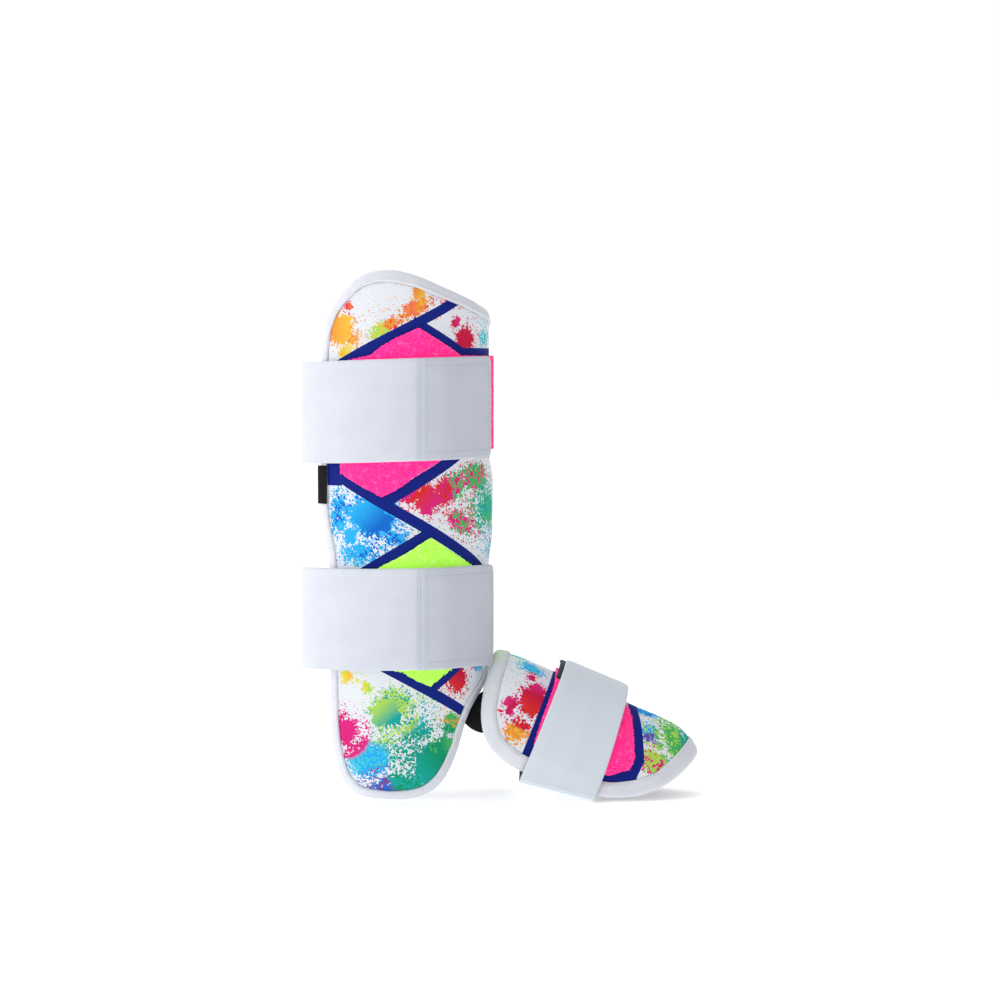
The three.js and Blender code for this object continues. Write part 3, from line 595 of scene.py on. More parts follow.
def closed_outline(rows, samples):
    """Evenly spaced points on a closed centripetal Catmull-Rom curve through the rows."""
    rows = np.array(rows, float)
    p = [np.roll(rows, k, axis=0)[:, None] for k in (1, 0, -1, -2)]
    d = [np.linalg.norm(b - a, axis=-1, keepdims=True) ** 0.5 for a, b in zip(p, p[1:])]
    first = (p[1] - p[0]) / d[0] - (p[2] - p[0]) / (d[0] + d[1]) + (p[2] - p[1]) / d[1]
    second = (p[2] - p[1]) / d[1] - (p[3] - p[1]) / (d[1] + d[2]) + (p[3] - p[2]) / d[2]
    t = np.linspace(0, 1, 40, endpoint=False)[None, :, None]
    ends = p[1] * (2 * t**3 - 3 * t**2 + 1) + p[2] * (3 * t**2 - 2 * t**3)
    dense = ends + d[1] * (first * (t**3 - 2 * t**2 + t) + second * (t**3 - t**2))
    return evenly(np.vstack([dense.reshape(-1, 2), rows[:1]]), samples + 1)[:-1]


def evenly(path, samples):
    """Points at even distances along a path of any number of coordinates."""
    length = np.concatenate([[0], np.cumsum(np.linalg.norm(np.diff(path, axis=0), axis=1))])
    at = np.linspace(0, length[-1], samples)
    return np.stack([np.interp(at, length, column) for column in path.T], axis=1)


def inset(outline, distance):
    """The closed outline moved inwards, square to the line between each point's neighbours."""
    run = np.roll(outline, -1, axis=0) - np.roll(outline, 1, axis=0)
    run /= np.linalg.norm(run, axis=1, keepdims=True)
    return outline + np.stack([-run[:, 1], run[:, 0]], axis=1) * np.reshape(distance, (-1, 1))


def waves(x, y, wavelength, seed):
    """A smooth field, mostly between -1 and 1: the sum of seven sines over half their number, with seeded
    directions, wavelengths and phases."""
    draw = np.random.default_rng(seed)
    angle = draw.uniform(0, math.tau, 7)
    pace = math.tau / (wavelength * draw.uniform(0.6, 1.6, 7))
    phase = draw.uniform(0, math.tau, 7)
    fields = [np.sin(p * (x * math.cos(a) + y * math.sin(a)) + f) for a, p, f in zip(angle, pace, phase)]
    return sum(fields) / 3.5


def smoothstep(low, high, x):
    t = np.clip((x - low) / (high - low), 0, 1)
    return t * t * (3 - 2 * t)


def grid_faces(count, size, ring):
    """Quads of a grid whose rows are closed loops. A ring joins the last row to the first, and any other
    grid is capped by strips between the two halves of its end rows."""
    i = np.arange(count if ring else count - 1)[:, None]
    j = np.arange(size)[None]
    after, beside = (i + 1) % count, (j + 1) % size
    quads = np.stack([i * size + j, i * size + beside, after * size + beside, after * size + j], axis=-1)
    faces = [quads.reshape(-1, 4)]
    if not ring:
        k = np.arange(size // 2 - 1)
        cap = np.stack([k + 1, k, size - 1 - k, size - 2 - k], axis=-1)
        faces += [cap, cap[:, ::-1] + (count - 1) * size]
    return np.concatenate(faces)


def outward(points, faces):
    """The faces turned so that the solid's volume is above nought."""
    a, b, c, d = (points[faces[:, k]] for k in range(4))
    volume = (a * np.cross(b, c)).sum() + (a * np.cross(c, d)).sum()
    return faces if volume > 0 else faces[:, ::-1]


def new_piece(name, points, faces, material, replaces=(), lay=None):
    """A smooth mesh object from points in millimetres and quads, with its lay: how far each point is
    along and across the cloth, and which side it is on. Points that share a place are merged, which
    closes poles and thin ends."""
    place_m = np.asarray(points).reshape(-1, 3) * MM + (leg_x, leg_y, floor_z)
    mesh = bpy.data.meshes.new(name)
    mesh.from_pydata(place_m, [], outward(place_m, faces))
    if lay is not None:
        layer = mesh.attributes.new("lay", "FLOAT_VECTOR", "POINT")
        layer.data.foreach_set("vector", np.ascontiguousarray(lay, dtype=np.float32).ravel())
    build = bmesh.new()
    build.from_mesh(mesh)
    bmesh.ops.remove_doubles(build, verts=build.verts, dist=1e-7)
    build.to_mesh(mesh)
    build.free()
    mesh.polygons.foreach_set("use_smooth", [True] * len(mesh.polygons))
    obj = bpy.data.objects.new(name, mesh)
    bpy.context.collection.objects.link(obj)
    obj.data.materials.append(material)
    if replaces:
        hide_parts(*replaces)
    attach(obj, "root")
    return obj


# Shells and binding


def shin_bulge(way, z):
    """How far the shin shell swells out between the straps on its front: a smooth step round the leg
    times one up and one down the height."""
    rise = smoothstep(*BULGE_START, z) - smoothstep(*BULGE_END, z)
    return SHIN_BULGE * rise * smoothstep(turn_way(SHIN_MIDDLE_TURN), turn_way(BULGE_FULL_TURN), way)


def no_bulge(x, y):
    """Nought at every place of the cloth."""
    return 0 * x


def shell(node, name, surface, outline, middle, thickness, tape_width, bulge, material, seed):
    """A padded shell: spokes of even steps run from the middle to the shoulder beside the tape, dip into
    the tape's fold, and come back on the inside. The foam swells and sinks by a slow wave field, and
    outwards by the bulge, a function of the place on the cloth."""
    shoulder = inset(outline, tape_width + 0.1)[:, None]
    shares = np.linspace(0, 1, SHELL_RINGS)[None, :, None] ** 0.85
    face = middle + (shoulder - middle) * shares
    reach = np.linalg.norm(shoulder - face, axis=-1)
    dip = -SEAM_DIP * np.exp(-reach / SEAM_DIP_REACH)
    calm = smoothstep(0, CALM_REACH, reach)
    swell = SWELL * waves(face[..., 0], face[..., 1], SWELL_LENGTH, seed) * calm
    insets = (tape_width - 0.1, tape_width / 2, TAPE_THICKNESS + LIP_GAP)
    lip = np.stack([inset(outline, distance) for distance in insets], axis=1)
    lip_lift = np.full(lip.shape[:2], TAPE_RISE - TAPE_THICKNESS - LIP_GAP)
    half = np.concatenate([face, lip], axis=1)
    outer = np.concatenate([dip + swell + bulge(face[..., 0], face[..., 1]) * calm, lip_lift], axis=1)
    inner = np.concatenate([dip - swell, lip_lift], axis=1)
    x, y = half[..., 0], half[..., 1]
    top = surface(x, y, outer)
    bottom = surface(x, y, -thickness - inner)
    points = np.concatenate([top, bottom[:, ::-1]], axis=1)
    lay = np.concatenate([place(x, y, 0), place(x, y, 1)[:, ::-1]], axis=1)
    faces = grid_faces(len(points), points.shape[1], True)
    piece = new_piece(name, points, faces, material, (node,), lay)


def tape_profile(width, thickness, plump):
    """The folded tape's section as distance in from the edge and height over the pad's middle: a
    superellipse round the edge, then a flat face that swells by plump and ends in a thin cut edge."""
    high = thickness / 2 + TAPE_RISE
    bend = high * 1.05
    angle = np.linspace(0, math.pi, 15)
    flat = np.linspace(width - 0.3, bend, 6, endpoint=False)
    rise = plump * np.sin(math.pi * (flat - bend) / (width - bend)) ** 0.8

    def side(level, round_from):
        around = np.abs(np.sin(angle)) ** TAPE_ROUNDNESS
        inwards = round_from + (bend - round_from) * (1 - around)
        height = level * np.sign(np.cos(angle)) * np.abs(np.cos(angle)) ** TAPE_ROUNDNESS
        face = np.stack([flat, level + rise], axis=1)
        return np.vstack([face, np.stack([inwards, height], axis=1), face[::-1] * (1, -1)])

    outer = side(high, 0)
    inner = side(high - TAPE_THICKNESS, TAPE_THICKNESS)[::-1]
    lower_edge = [(width, -high + TAPE_CUT), (width, -high + TAPE_THICKNESS)]
    upper_edge = [(width, high - TAPE_THICKNESS), (width, high - TAPE_CUT)]
    return np.vstack([outer, lower_edge, inner, upper_edge])


def binding(node, name, surface, outline, thickness, width, material, seed):
    """Tape folded over a shell's edge: its section carried round the outline, puckered by quick waves
    where the edge turns."""
    section = tape_profile(width, thickness, sizes().plump / MM)
    total = np.linalg.norm(np.roll(outline, -1, axis=0) - outline, axis=1).sum()
    way = np.linspace(0, total, len(outline), endpoint=False)
    fold = waves(way, way * 0.3, 9, seed) * sizes().pucker / MM * turning(outline)
    ragged = TAPE_RAGGED * waves(way, way, 30, seed + 1)[:, None] * (section[None, :, 0] > 4)
    distance = section[None, :, 0] + ragged
    height = section[None, :, 1] * (1 + (fold[:, None] - 0.05) / (thickness / 2 + TAPE_RISE))
    run = np.roll(outline, -1, axis=0) - np.roll(outline, 1, axis=0)
    run /= np.linalg.norm(run, axis=1, keepdims=True)
    x = outline[:, :1] - run[:, 1:] * distance
    y = outline[:, 1:] + run[:, :1] * distance
    points = surface(x, y, height - thickness / 2)
    lay = place(way[:, None], np.broadcast_to(section[None, :, 0], x.shape), 0)
    faces = grid_faces(len(points), points.shape[1], True)
    new_piece(name, points, faces, material, (node,), lay)


def turning(outline):
    """How strongly the outline turns at each point, from 0.35 on a straight run to 1 in a corner."""
    run = np.roll(outline, -4, axis=0) - outline
    back = outline - np.roll(outline, 4, axis=0)
    cross = run[:, 0] * back[:, 1] - run[:, 1] * back[:, 0]
    bend = np.abs(cross) / (np.linalg.norm(run, axis=1) * np.linalg.norm(back, axis=1))
    return 0.35 + 0.65 * np.clip(bend * 4, 0, 1)


# Fabric patches, straps and stitches


def band_section(width, thickness, columns=22):
    """A strap's section as a closed loop: places across it, crowded towards its edges, and heights from
    its lower face, whose edges are half round."""
    share = np.sin(np.linspace(-1, 1, columns) * math.pi / 2)
    across = share * width / 2
    radius = thickness / 2
    near = np.clip((width / 2 - np.abs(across)) / radius, 0, 1)
    half = radius * np.sqrt(np.maximum(1 - (1 - near) ** 2, 0.03))
    return np.concatenate([across, across[::-1]]), np.concatenate([radius + half, (radius - half)[::-1]])


def patch(node, name, surface, table, to_way, scale, material, seed):
    """A piece of loop fabric: columns between the table's low and high edges, with a domed and lumpy
    face that thins out to slightly ragged edges."""
    rows = np.array(table, float)
    keys = rows[:, 0]
    columns = np.concatenate([np.linspace(a, b, 14, endpoint=False) for a, b in zip(keys, keys[1:])])
    columns = np.append(columns, keys[-1])
    way = to_way(columns)
    low = np.interp(columns, keys, rows[:, 1]) * scale + LOOP_RAGGED * waves(way, way * 0, 2.4, seed)
    high = np.interp(columns, keys, rows[:, 2]) * scale + LOOP_RAGGED * waves(way, way * 0, 2.2, seed + 1)
    across, height = band_section(2, LOOP_THICKNESS, 60)
    run = (low + high)[:, None] / 2 + across[None] * (high - low)[:, None] / 2
    edge = (np.broadcast_to(way[:, None], run.shape), run)
    lump = LOOP_LUMP * waves(*edge, 5, seed + 2)
    lump[:, len(across) // 2 :] = 0
    points = surface(*edge, FABRIC_GAP + height[None] + lump)
    faces = grid_faces(len(points), points.shape[1], False)
    piece = new_piece(name, points, faces, material, (node,), place(*edge, 0))
    area = float(np.sum((high - low)[:-1] * np.diff(way))) * MM * MM
    flat = (np.ptp(way) * MM, (high - low).max() * MM)


def fuzz(name, surface, table, to_way, scale, covered, material, seed):
    """Loops of fibre on the fabric: arches of four-sided thread at seeded random places, each rising as
    half a sine. Loops under a strap are left out."""
    draw = np.random.default_rng(seed)
    rows = np.array(table, float)
    column = draw.uniform(rows[0, 0], rows[-1, 0], FIBRES)
    low = np.interp(column, rows[:, 0], rows[:, 1]) * scale
    high = np.interp(column, rows[:, 0], rows[:, 2]) * scale
    run = low + (high - low) * draw.uniform(0, 1, FIBRES)
    way = to_way(column)
    open_air = ~covered(column, run)
    way, run = way[open_air], run[open_air]
    foot, up = on_surface(surface, way, run, FABRIC_GAP + LOOP_THICKNESS - 0.15)
    total = len(way)
    side = np.cross(up, draw.normal(size=(total, 3)))
    side /= np.linalg.norm(side, axis=1, keepdims=True)
    ahead = np.cross(side, up)
    t = np.linspace(0, 1, 4)
    rise = draw.uniform(0.45, 1, (total, 1)) * sizes().loop_rise / MM
    span = draw.uniform(0.6, 1.7, (total, 1))
    lean = draw.normal(0, 0.35, (total, 1))
    line_up = np.sin(math.pi * t) * rise
    line_along = (t - 0.5) * span + lean * line_up
    around = np.linspace(0, math.tau, 4, endpoint=False)
    ring = FIBRE_RADIUS * np.stack([np.cos(around), np.sin(around)], axis=1)
    centre = foot[:, None] + ahead[:, None] * line_along[..., None] + up[:, None] * line_up[..., None]
    out = up[:, None] * math.sqrt(0.5) + ahead[:, None] * (math.sqrt(0.5) * np.sign(t - 0.5))[None, :, None]
    offset = side[:, None, None] * ring[None, None, :, :1] + out[:, :, None] * ring[None, None, :, 1:]
    points = (centre[:, :, None] + offset).reshape(-1, 3)
    faces = (grid_faces(4, 4, False)[None] + np.arange(total)[:, None, None] * 16).reshape(-1, 4)
    lay = np.repeat(place(way, run, 0), 16, axis=0)
    new_piece(name, points, faces, material, (), lay)


def strap_line(turn, line):
    """A shin strap's way, its middle height and its stand off the shell at each turn in degrees."""
    stand = smooth_rows(STRAP_STAND, np.where(turn > 270, turn - 360, turn))[..., 0]
    back = (1 - np.cos(np.radians(turn))) / 2
    middle = line["place"] * SHIN_HEIGHT - line["sag"] * back**2
    middle = middle + line["rise"] * CALF_HALF_LENGTH * np.sin(np.radians(turn))
    return turn_way(turn), middle, STRAP_LIFT * stand


def band(node, name, surface, way, middle, base, width, thickness, material, slot, narrow=1.0):
    """A strap or tab: its section at each column of the surface, narrowed where its ends are round."""
    across, height = band_section(width, thickness)
    edge = middle[:, None] + across[None] * np.broadcast_to(narrow, way.shape)[:, None]
    columns = np.broadcast_to(way[:, None], edge.shape)
    points = surface(columns, edge, base[:, None] + height[None])
    side = np.arange(len(across))[None] >= len(across) // 2
    lay = place(columns, edge - middle[:, None], side.astype(float))
    faces = grid_faces(len(points), points.shape[1], False)
    new_piece(name, points, faces, material, (node,), lay)


def rounded_end(distance, half_width, radius):
    """Share of a band's half width at a distance from its round-cornered end."""
    inside = np.clip(radius - distance, 0, radius)
    return 1 - (radius - np.sqrt(radius**2 - inside**2)) / half_width


def stitches(name, path, normals, material, length=0.72, radius=0.26):
    """A row of stitches: along an evenly divided path, each a short thread that bows up out of the cloth,
    with a round section that closes at both ends."""
    pitch = sizes().stitch_pitch / MM
    total = np.linalg.norm(np.diff(path, axis=0), axis=1).sum()
    count = max(int(total / pitch), 2)
    both = evenly(np.hstack([path, normals]), count * 2 + 1)[1::2]
    spot, up = both[:, :3], both[:, 3:]
    ahead = np.gradient(spot, axis=0)
    ahead /= np.linalg.norm(ahead, axis=1, keepdims=True)
    side = np.cross(up, ahead)
    side /= np.linalg.norm(side, axis=1, keepdims=True)
    t = np.linspace(0, 1, 6)
    bow = np.sin(math.pi * t) ** 0.6
    girth = radius * (0.25 + 0.75 * bow)
    around = np.linspace(0, math.tau, 6, endpoint=False)
    run = (t - 0.5)[:, None] * pitch * length + 0 * around
    out = (bow * radius * 0.9)[:, None] + girth[:, None] * np.sin(around) - radius * 0.4
    across = girth[:, None] * np.cos(around)
    shape = np.stack([run, across, out], axis=-1).reshape(-1, 3)
    points = spot[:, None] + shape @ np.stack([ahead, side, up], axis=1)
    faces = (grid_faces(6, 6, False)[None] + np.arange(count)[:, None, None] * 36).reshape(-1, 4)
    lay = np.broadcast_to(place(np.arange(count) * 3.0, 0, 0)[:, None], points.shape)
    new_piece(name, points, faces, material, (), lay.reshape(-1, 3))


def on_surface(surface, x, y, lift):
    """Points on a surface and its normals there."""
    low = surface(x, y, lift)
    out = surface(x, y, lift + 1) - low
    return low, out / np.linalg.norm(out, axis=-1, keepdims=True)


# Materials


class Field:
    """A value socket of a node tree with arithmetic that adds Math nodes."""

    def __init__(self, tree, socket):
        self.tree = tree
        self.socket = socket

    def math(self, operation, *others):
        inputs = dict(enumerate((self, *others)))
        node = add_node(self.tree, "ShaderNodeMath", {"operation": operation}, inputs)
        return Field(self.tree, node.outputs[0])

    def __add__(self, other):
        return self.math("ADD", other)

    def __radd__(self, other):
        return self.math("ADD", other)

    def __sub__(self, other):
        return self.math("SUBTRACT", other)

    def __rsub__(self, other):
        return self.math("MULTIPLY_ADD", -1, other)

    def __mul__(self, other):
        return self.math("MULTIPLY", other)

    def __rmul__(self, other):
        return self.math("MULTIPLY", other)

    def __gt__(self, other):
        return self.math("GREATER_THAN", other)

    def __lt__(self, other):
        return self.math("LESS_THAN", other)


def add_node(tree, kind, settings=None, inputs=None):
    """One node of a kind in a tree: its settings are made first, then its inputs, by name or by number,
    take a value or a link."""
    node = tree.nodes.new(kind)
    for key, value in (settings or {}).items():
        setattr(node, key, value)
    for key, value in (inputs or {}).items():
        value = value.socket if isinstance(value, Field) else value
        if isinstance(value, bpy.types.NodeSocket):
            tree.links.new(value, node.inputs[key])
        else:
            node.inputs[key].default_value = value
    return node


class Finish:
    """A material under construction, whose patterns read the cloth's own lay."""

    def __init__(self, name, roughness, sheen=0.0):
        self.material = bpy.data.materials.new(name)
        self.material.use_nodes = True
        self.tree = self.material.node_tree
        self.shader = self.tree.nodes["Principled BSDF"]
        self.shader.inputs["Roughness"].default_value = roughness
        self.shader.inputs["Sheen Weight"].default_value = sheen
        self.shader.inputs["Specular IOR Level"].default_value = 0.2
        self.lay = self.node("ShaderNodeAttribute", {"attribute_name": "lay"}).outputs["Vector"]

    def node(self, kind, settings=None, inputs=None):
        return add_node(self.tree, kind, settings, inputs)

    def vector(self, operation, *values):
        node = self.node("ShaderNodeVectorMath", {"operation": operation}, dict(enumerate(values)))
        return node.outputs["Vector"]

    def length(self, vector):
        node = self.node("ShaderNodeVectorMath", {"operation": "LENGTH"}, {0: vector})
        return Field(self.tree, node.outputs["Value"])

    def split(self, vector):
        node = self.node("ShaderNodeSeparateXYZ", None, {0: vector})
        return [Field(self.tree, socket) for socket in node.outputs]

    def channels(self, colour):
        node = self.node("ShaderNodeSeparateColor", None, {0: colour})
        return [Field(self.tree, socket) for socket in node.outputs]

    def placed(self, vector, middle, reach, turn=0.0):
        """Coordinates that are 0 at a middle and 1 at its reach, after a turn."""
        if turn:
            inputs = {"Vector": vector, "Center": (*middle, 0), "Angle": -turn}
            vector = self.node("ShaderNodeVectorRotate", None, inputs).outputs[0]
        scale = np.divide(1, reach)
        return self.vector("MULTIPLY_ADD", vector, (*scale, 0), (*(-scale * middle), 0))

    def strip(self, vector, direction, middle, reach):
        """1 where a point lies within a reach of a middle, measured along a direction."""
        inputs = {0: vector, 1: (*direction, 0)}
        node = self.node("ShaderNodeVectorMath", {"operation": "DOT_PRODUCT"}, inputs)
        along = Field(self.tree, node.outputs["Value"])
        return along.math("COMPARE", float(np.dot(direction, middle)), reach)

    def mix(self, share, first, second):
        """The second colour over the first by a share."""
        node = self.node("ShaderNodeMix", {"data_type": "RGBA"}, {0: share, 6: first, 7: second})
        return node.outputs[2]

    def noise(self, vector, scale, detail=2.0, roughness=0.5):
        inputs = {"Vector": vector, "Scale": scale, "Detail": detail, "Roughness": roughness}
        node = self.node("ShaderNodeTexNoise", {"noise_dimensions": "2D"}, inputs)
        return Field(self.tree, node.outputs["Fac"])

    def colour(self, value, glow=0.0):
        """The base colour, with a share of it given out as light: a painted glow that brightens the fabric.
        """
        self.tree.links.new(value, self.shader.inputs["Base Color"])
        self.tree.links.new(value, self.shader.inputs["Emission Color"])
        self.shader.inputs["Emission Strength"].default_value = glow

    def bump(self, height, strength, distance):
        inputs = {"Height": height, "Strength": strength, "Distance": distance}
        node = self.node("ShaderNodeBump", None, inputs)
        self.tree.links.new(node.outputs[0], self.shader.inputs["Normal"])


def woven(name, colour, shade, pitch, strength, roughness=0.65, sheen=0.1, lining=None):
    """Smooth woven tape or elastic: fine ribs both ways and a faint cloudy change of tone. A lining
    colour shows on the inner side."""
    finish = Finish(name, roughness, sheen)
    x, y, side = finish.split(finish.lay)
    ribs = (x * (math.tau / pitch)).math("SINE") * (y * (math.tau / pitch)).math("SINE")
    cloud = finish.noise(finish.lay, 0.06, 3)
    tone = finish.mix((cloud - 0.35) * 1.6, colour, shade)
    if lining:
        tone = finish.mix(side > 0.5, tone, lining)
    finish.colour(tone)
    finish.bump(ribs * 0.5 + finish.noise(finish.lay, 0.9, 2) * 0.6, strength, 0.25 * MM)
    return finish.material


def brushed(name, colour, tip_highlight, root_shade):
    """Loop fabric: tangled fibres as two noises, a painted highlight where they stand up and painted shade
    between.
    """
    finish = Finish(name, 0.95, 0.5)
    fibre = finish.noise(finish.lay, 1.1, 6, 0.7)
    tuft = finish.noise(finish.lay, 0.28, 3, 0.6)
    # Painted shade where the bump is low, then a painted highlight where it is high.
    tone = finish.mix((fibre - 0.36) * 4, root_shade, colour)
    tone = finish.mix((fibre * 0.5 + tuft * 0.7 - 0.62) * 4, tone, tip_highlight)
    finish.colour(tone, LOOP_GLOW)
    finish.bump(fibre + tuft * 0.6, 0.6, 0.6 * MM)
    return finish.material


class Print(Finish):
    """The printed air mesh: sprays of drops, splashes and bands on white cloth, with a dark lining on the
    inner side."""

    def __init__(self, name, sprays, splashes, bands, folded):
        super().__init__(name, 0.75)
        settings = {"noise_dimensions": "2D"}
        inputs = {"Vector": self.lay, "Scale": 0.35, "Detail": 2.0}
        waver = self.node("ShaderNodeTexNoise", settings, inputs)
        red, green, _ = self.channels(waver.outputs["Color"])
        inputs = {0: (red - 0.5) * WAVER, 1: (green - 0.5) * WAVER}
        offset = self.node("ShaderNodeCombineXYZ", None, inputs)
        self.wavy = self.vector("ADD", self.lay, offset.outputs[0])
        x, y, side = self.split(self.lay)
        white, light, holes, navy, lining = colours("cloth", "cloth_light", "holes", "bands", "lining")
        cloth = self.mix(self.noise(self.lay, 0.05, 3), white, light)
        halos = []
        for middle, reach, _, *paints in splashes:
            halos.append((middle, (reach * HALO_REACH, reach * HALO_REACH), 0, HALO_DENSITY, *paints))
        tone = self.splashes(self.sprays(cloth, sprays + halos), splashes)
        along = self.vector("ABSOLUTE", self.lay) if folded else self.lay
        tone = self.mix(self.bands(along, bands), tone, navy)
        mesh = self.air_mesh(x, y)
        tone = self.mix(mesh * 0.13, tone, holes)
        self.colour(self.mix(side > 0.5, tone, lining), PRINT_GLOW)
        self.bump(mesh * -1 + self.noise(self.lay, 1.4, 2) * 0.25, 0.55, 0.45 * MM)

    def air_mesh(self, x, y):
        """Round holes in rows: three cosines at sixths of a turn, summed and cut above a level."""
        pace = math.tau / (sizes().mesh_pitch / MM * math.cos(math.pi / 6))
        angles = [MESH_TURN + k * math.pi / 3 for k in range(3)]
        rows = [x * (pace * math.cos(angle)) + y * (pace * math.sin(angle)) for angle in angles]
        total = rows[0].math("COSINE") + rows[1].math("COSINE") + rows[2].math("COSINE")
        return ((total - 0.6) * 0.7).math("MINIMUM", 1).math("MAXIMUM", 0)

    def sprays(self, tone, rows):
        """Drops of three sizes: the amount of paint is the largest of the sprays' own, which fall from
        their density in the middle to nought at their reach."""
        amount = None
        first, second = linear(PAINTS["sky"]), linear(PAINTS["lime"])
        for middle, reach, turn, density, paint, other in rows:
            away = self.length(self.placed(self.wavy, middle, reach, math.radians(turn)))
            share = (away * -1.25 + 1.25).math("MINIMUM", 1).math("MAXIMUM", 0)
            lead = share * 6
            first = self.mix(lead, first, linear(PAINTS[paint]))
            second = self.mix(lead, second, linear(PAINTS[other]))
            wet = share * density
            amount = wet if amount is None else wet.math("MAXIMUM", amount)
        for size, gain, level, seed in DROPS:
            drop, chance = self.drops(size, amount * gain - level, seed)
            tone = self.mix(drop, tone, self.mix(chance > 0.62, first, second))
        return tone

    def drops(self, size, amount, seed):
        """Round drops about a size apart. Each cell holds one where the amount of paint is above the
        cell's own random number, and it is the larger the more it is above."""
        moved = self.vector("ADD", self.wavy, (seed * 37.0, seed * 11.0, 0))
        inputs = {"Vector": moved, "Scale": 1 / size}
        cells = self.node("ShaderNodeTexVoronoi", {"voronoi_dimensions": "2D"}, inputs)
        chance, second, _ = self.channels(cells.outputs["Color"])
        reach = (amount - chance) * 0.75
        return reach > Field(self.tree, cells.outputs["Distance"]), second

    def splashes(self, tone, rows):
        """Splashes with spiked edges: a point is painted where it lies nearer the middle than a limit,
        which has 13 cusps round the middle on 3 slow lobes. Their paint fades from the first to the
        second."""
        for seed, (middle, reach, turn, paint, other) in enumerate(rows):
            spot = self.placed(self.wavy, middle, (reach, reach))
            x, y, _ = self.split(spot)
            angle = y.math("ARCTAN2", x)
            lobe = angle.math("MULTIPLY_ADD", 3, seed * 1.9).math("SINE")
            valley = angle.math("MULTIPLY_ADD", 6.5, lobe * 2.3 + seed).math("SINE").math("ABSOLUTE")
            limit = valley.math("MULTIPLY_ADD", -0.34, lobe * 0.07 + 0.88)
            fade = x * (1.1 * math.cos(math.radians(turn))) + y * (1.1 * math.sin(math.radians(turn)))
            paint = self.mix(fade + 0.5, linear(PAINTS[paint]), linear(PAINTS[other]))
            tone = self.mix(self.length(spot) < limit, tone, paint)
        return tone

    def bands(self, vector, rows):
        """Printed bands: 1 where a point lies within half the length and half the width of a run."""
        mask = None
        for width, corners in rows:
            for start, end in zip(np.array(corners, float), np.array(corners[1:], float)):
                run = end - start
                half = float(np.linalg.norm(run)) / 2
                along = run / (2 * half)
                middle = (start + end) / 2
                inside = self.strip(vector, along, middle, half + width * 0.3)
                inside *= self.strip(vector, (-along[1], along[0]), middle, width / 2)
                mask = inside if mask is None else mask.math("MAXIMUM", inside)
        return mask


def shin_outline(samples):
    return closed_outline([(turn_way(turn), share * SHIN_HEIGHT) for turn, share in SHIN_OUTLINE], samples)


def foot_outline(samples):
    near = [(share * FOOT_LENGTH, -fall_way(fall)) for share, fall in FOOT_OUTLINE]
    far = [(u, -w) for u, w in near[1:-1]]
    return closed_outline(near + far[::-1], samples)


# Operators


class MakeShells(bpy.types.Operator):
    """Makes the two padded shells in printed mesh."""

    bl_idname = "guard.shells"
    bl_label = "Padded shells"

    def execute(self, context):
        cloth = Print("Printed mesh on the shin", SHIN_SPRAYS, SHIN_SPLASHES, SHIN_BANDS, False).material
        middle = (turn_way(SHIN_MIDDLE_TURN), 0.55 * SHIN_HEIGHT)
        form = (SHIN_PAD_THICKNESS, SHIN_TAPE_WIDTH, shin_bulge)
        shell("shin_pad", "shin_shell", shin_point, shin_outline(420), middle, *form, cloth, 3)
        cloth = Print("Printed mesh on the foot", FOOT_SPRAYS, FOOT_SPLASHES, FOOT_BANDS, True).material
        middle = (0.5 * FOOT_LENGTH, 0)
        form = (FOOT_PAD_THICKNESS, FOOT_TAPE_WIDTH, no_bulge)
        shell("foot_pad", "foot_shell", foot_point, foot_outline(320), middle, *form, cloth, 5)
        return {"FINISHED"}


class MakeBindings(bpy.types.Operator):
    """Makes the binding tape round both shells and its stitches."""

    bl_idname = "guard.bindings"
    bl_label = "Bindings"

    def execute(self, context):
        tape = woven("Binding tape", *colours("tape", "tape_shade"), 0.9, 0.25)
        thread = woven("Tape thread", *colours("tape_thread", "tape_thread_shade"), 0.5, 0.3)
        rows = (
            ("shin", shin_point, shin_outline(520), SHIN_PAD_THICKNESS, SHIN_TAPE_WIDTH, 11),
            ("foot", foot_point, foot_outline(420), FOOT_PAD_THICKNESS, FOOT_TAPE_WIDTH, 17),
        )
        for name, surface, outline, thickness, width, seed in rows:
            binding(name + "_binding", name + "_tape", surface, outline, thickness, width, tape, seed)
            row = inset(outline, width - 1.6)
            path, up = on_surface(surface, row[:, 0], row[:, 1], TAPE_RISE + 0.12)
            stitches(name + "_tape_stitches", path, up, thread)
        return {"FINISHED"}


def under_shin_strap(line):
    """Tells which places of a loop panel a shin strap covers."""

    def covered(turn, z):
        _, middle, _ = strap_line(turn, line)
        return (np.abs(z - middle) < STRAP_WIDTH / 2 - 1) & (turn < line["end"] - 1)

    return covered


def under_foot_strap(_, u):
    heel = FOOT_STRAP_PLACE * FOOT_LENGTH
    return (u > heel + 1) & (u < heel + FOOT_STRAP_WIDTH - 1)


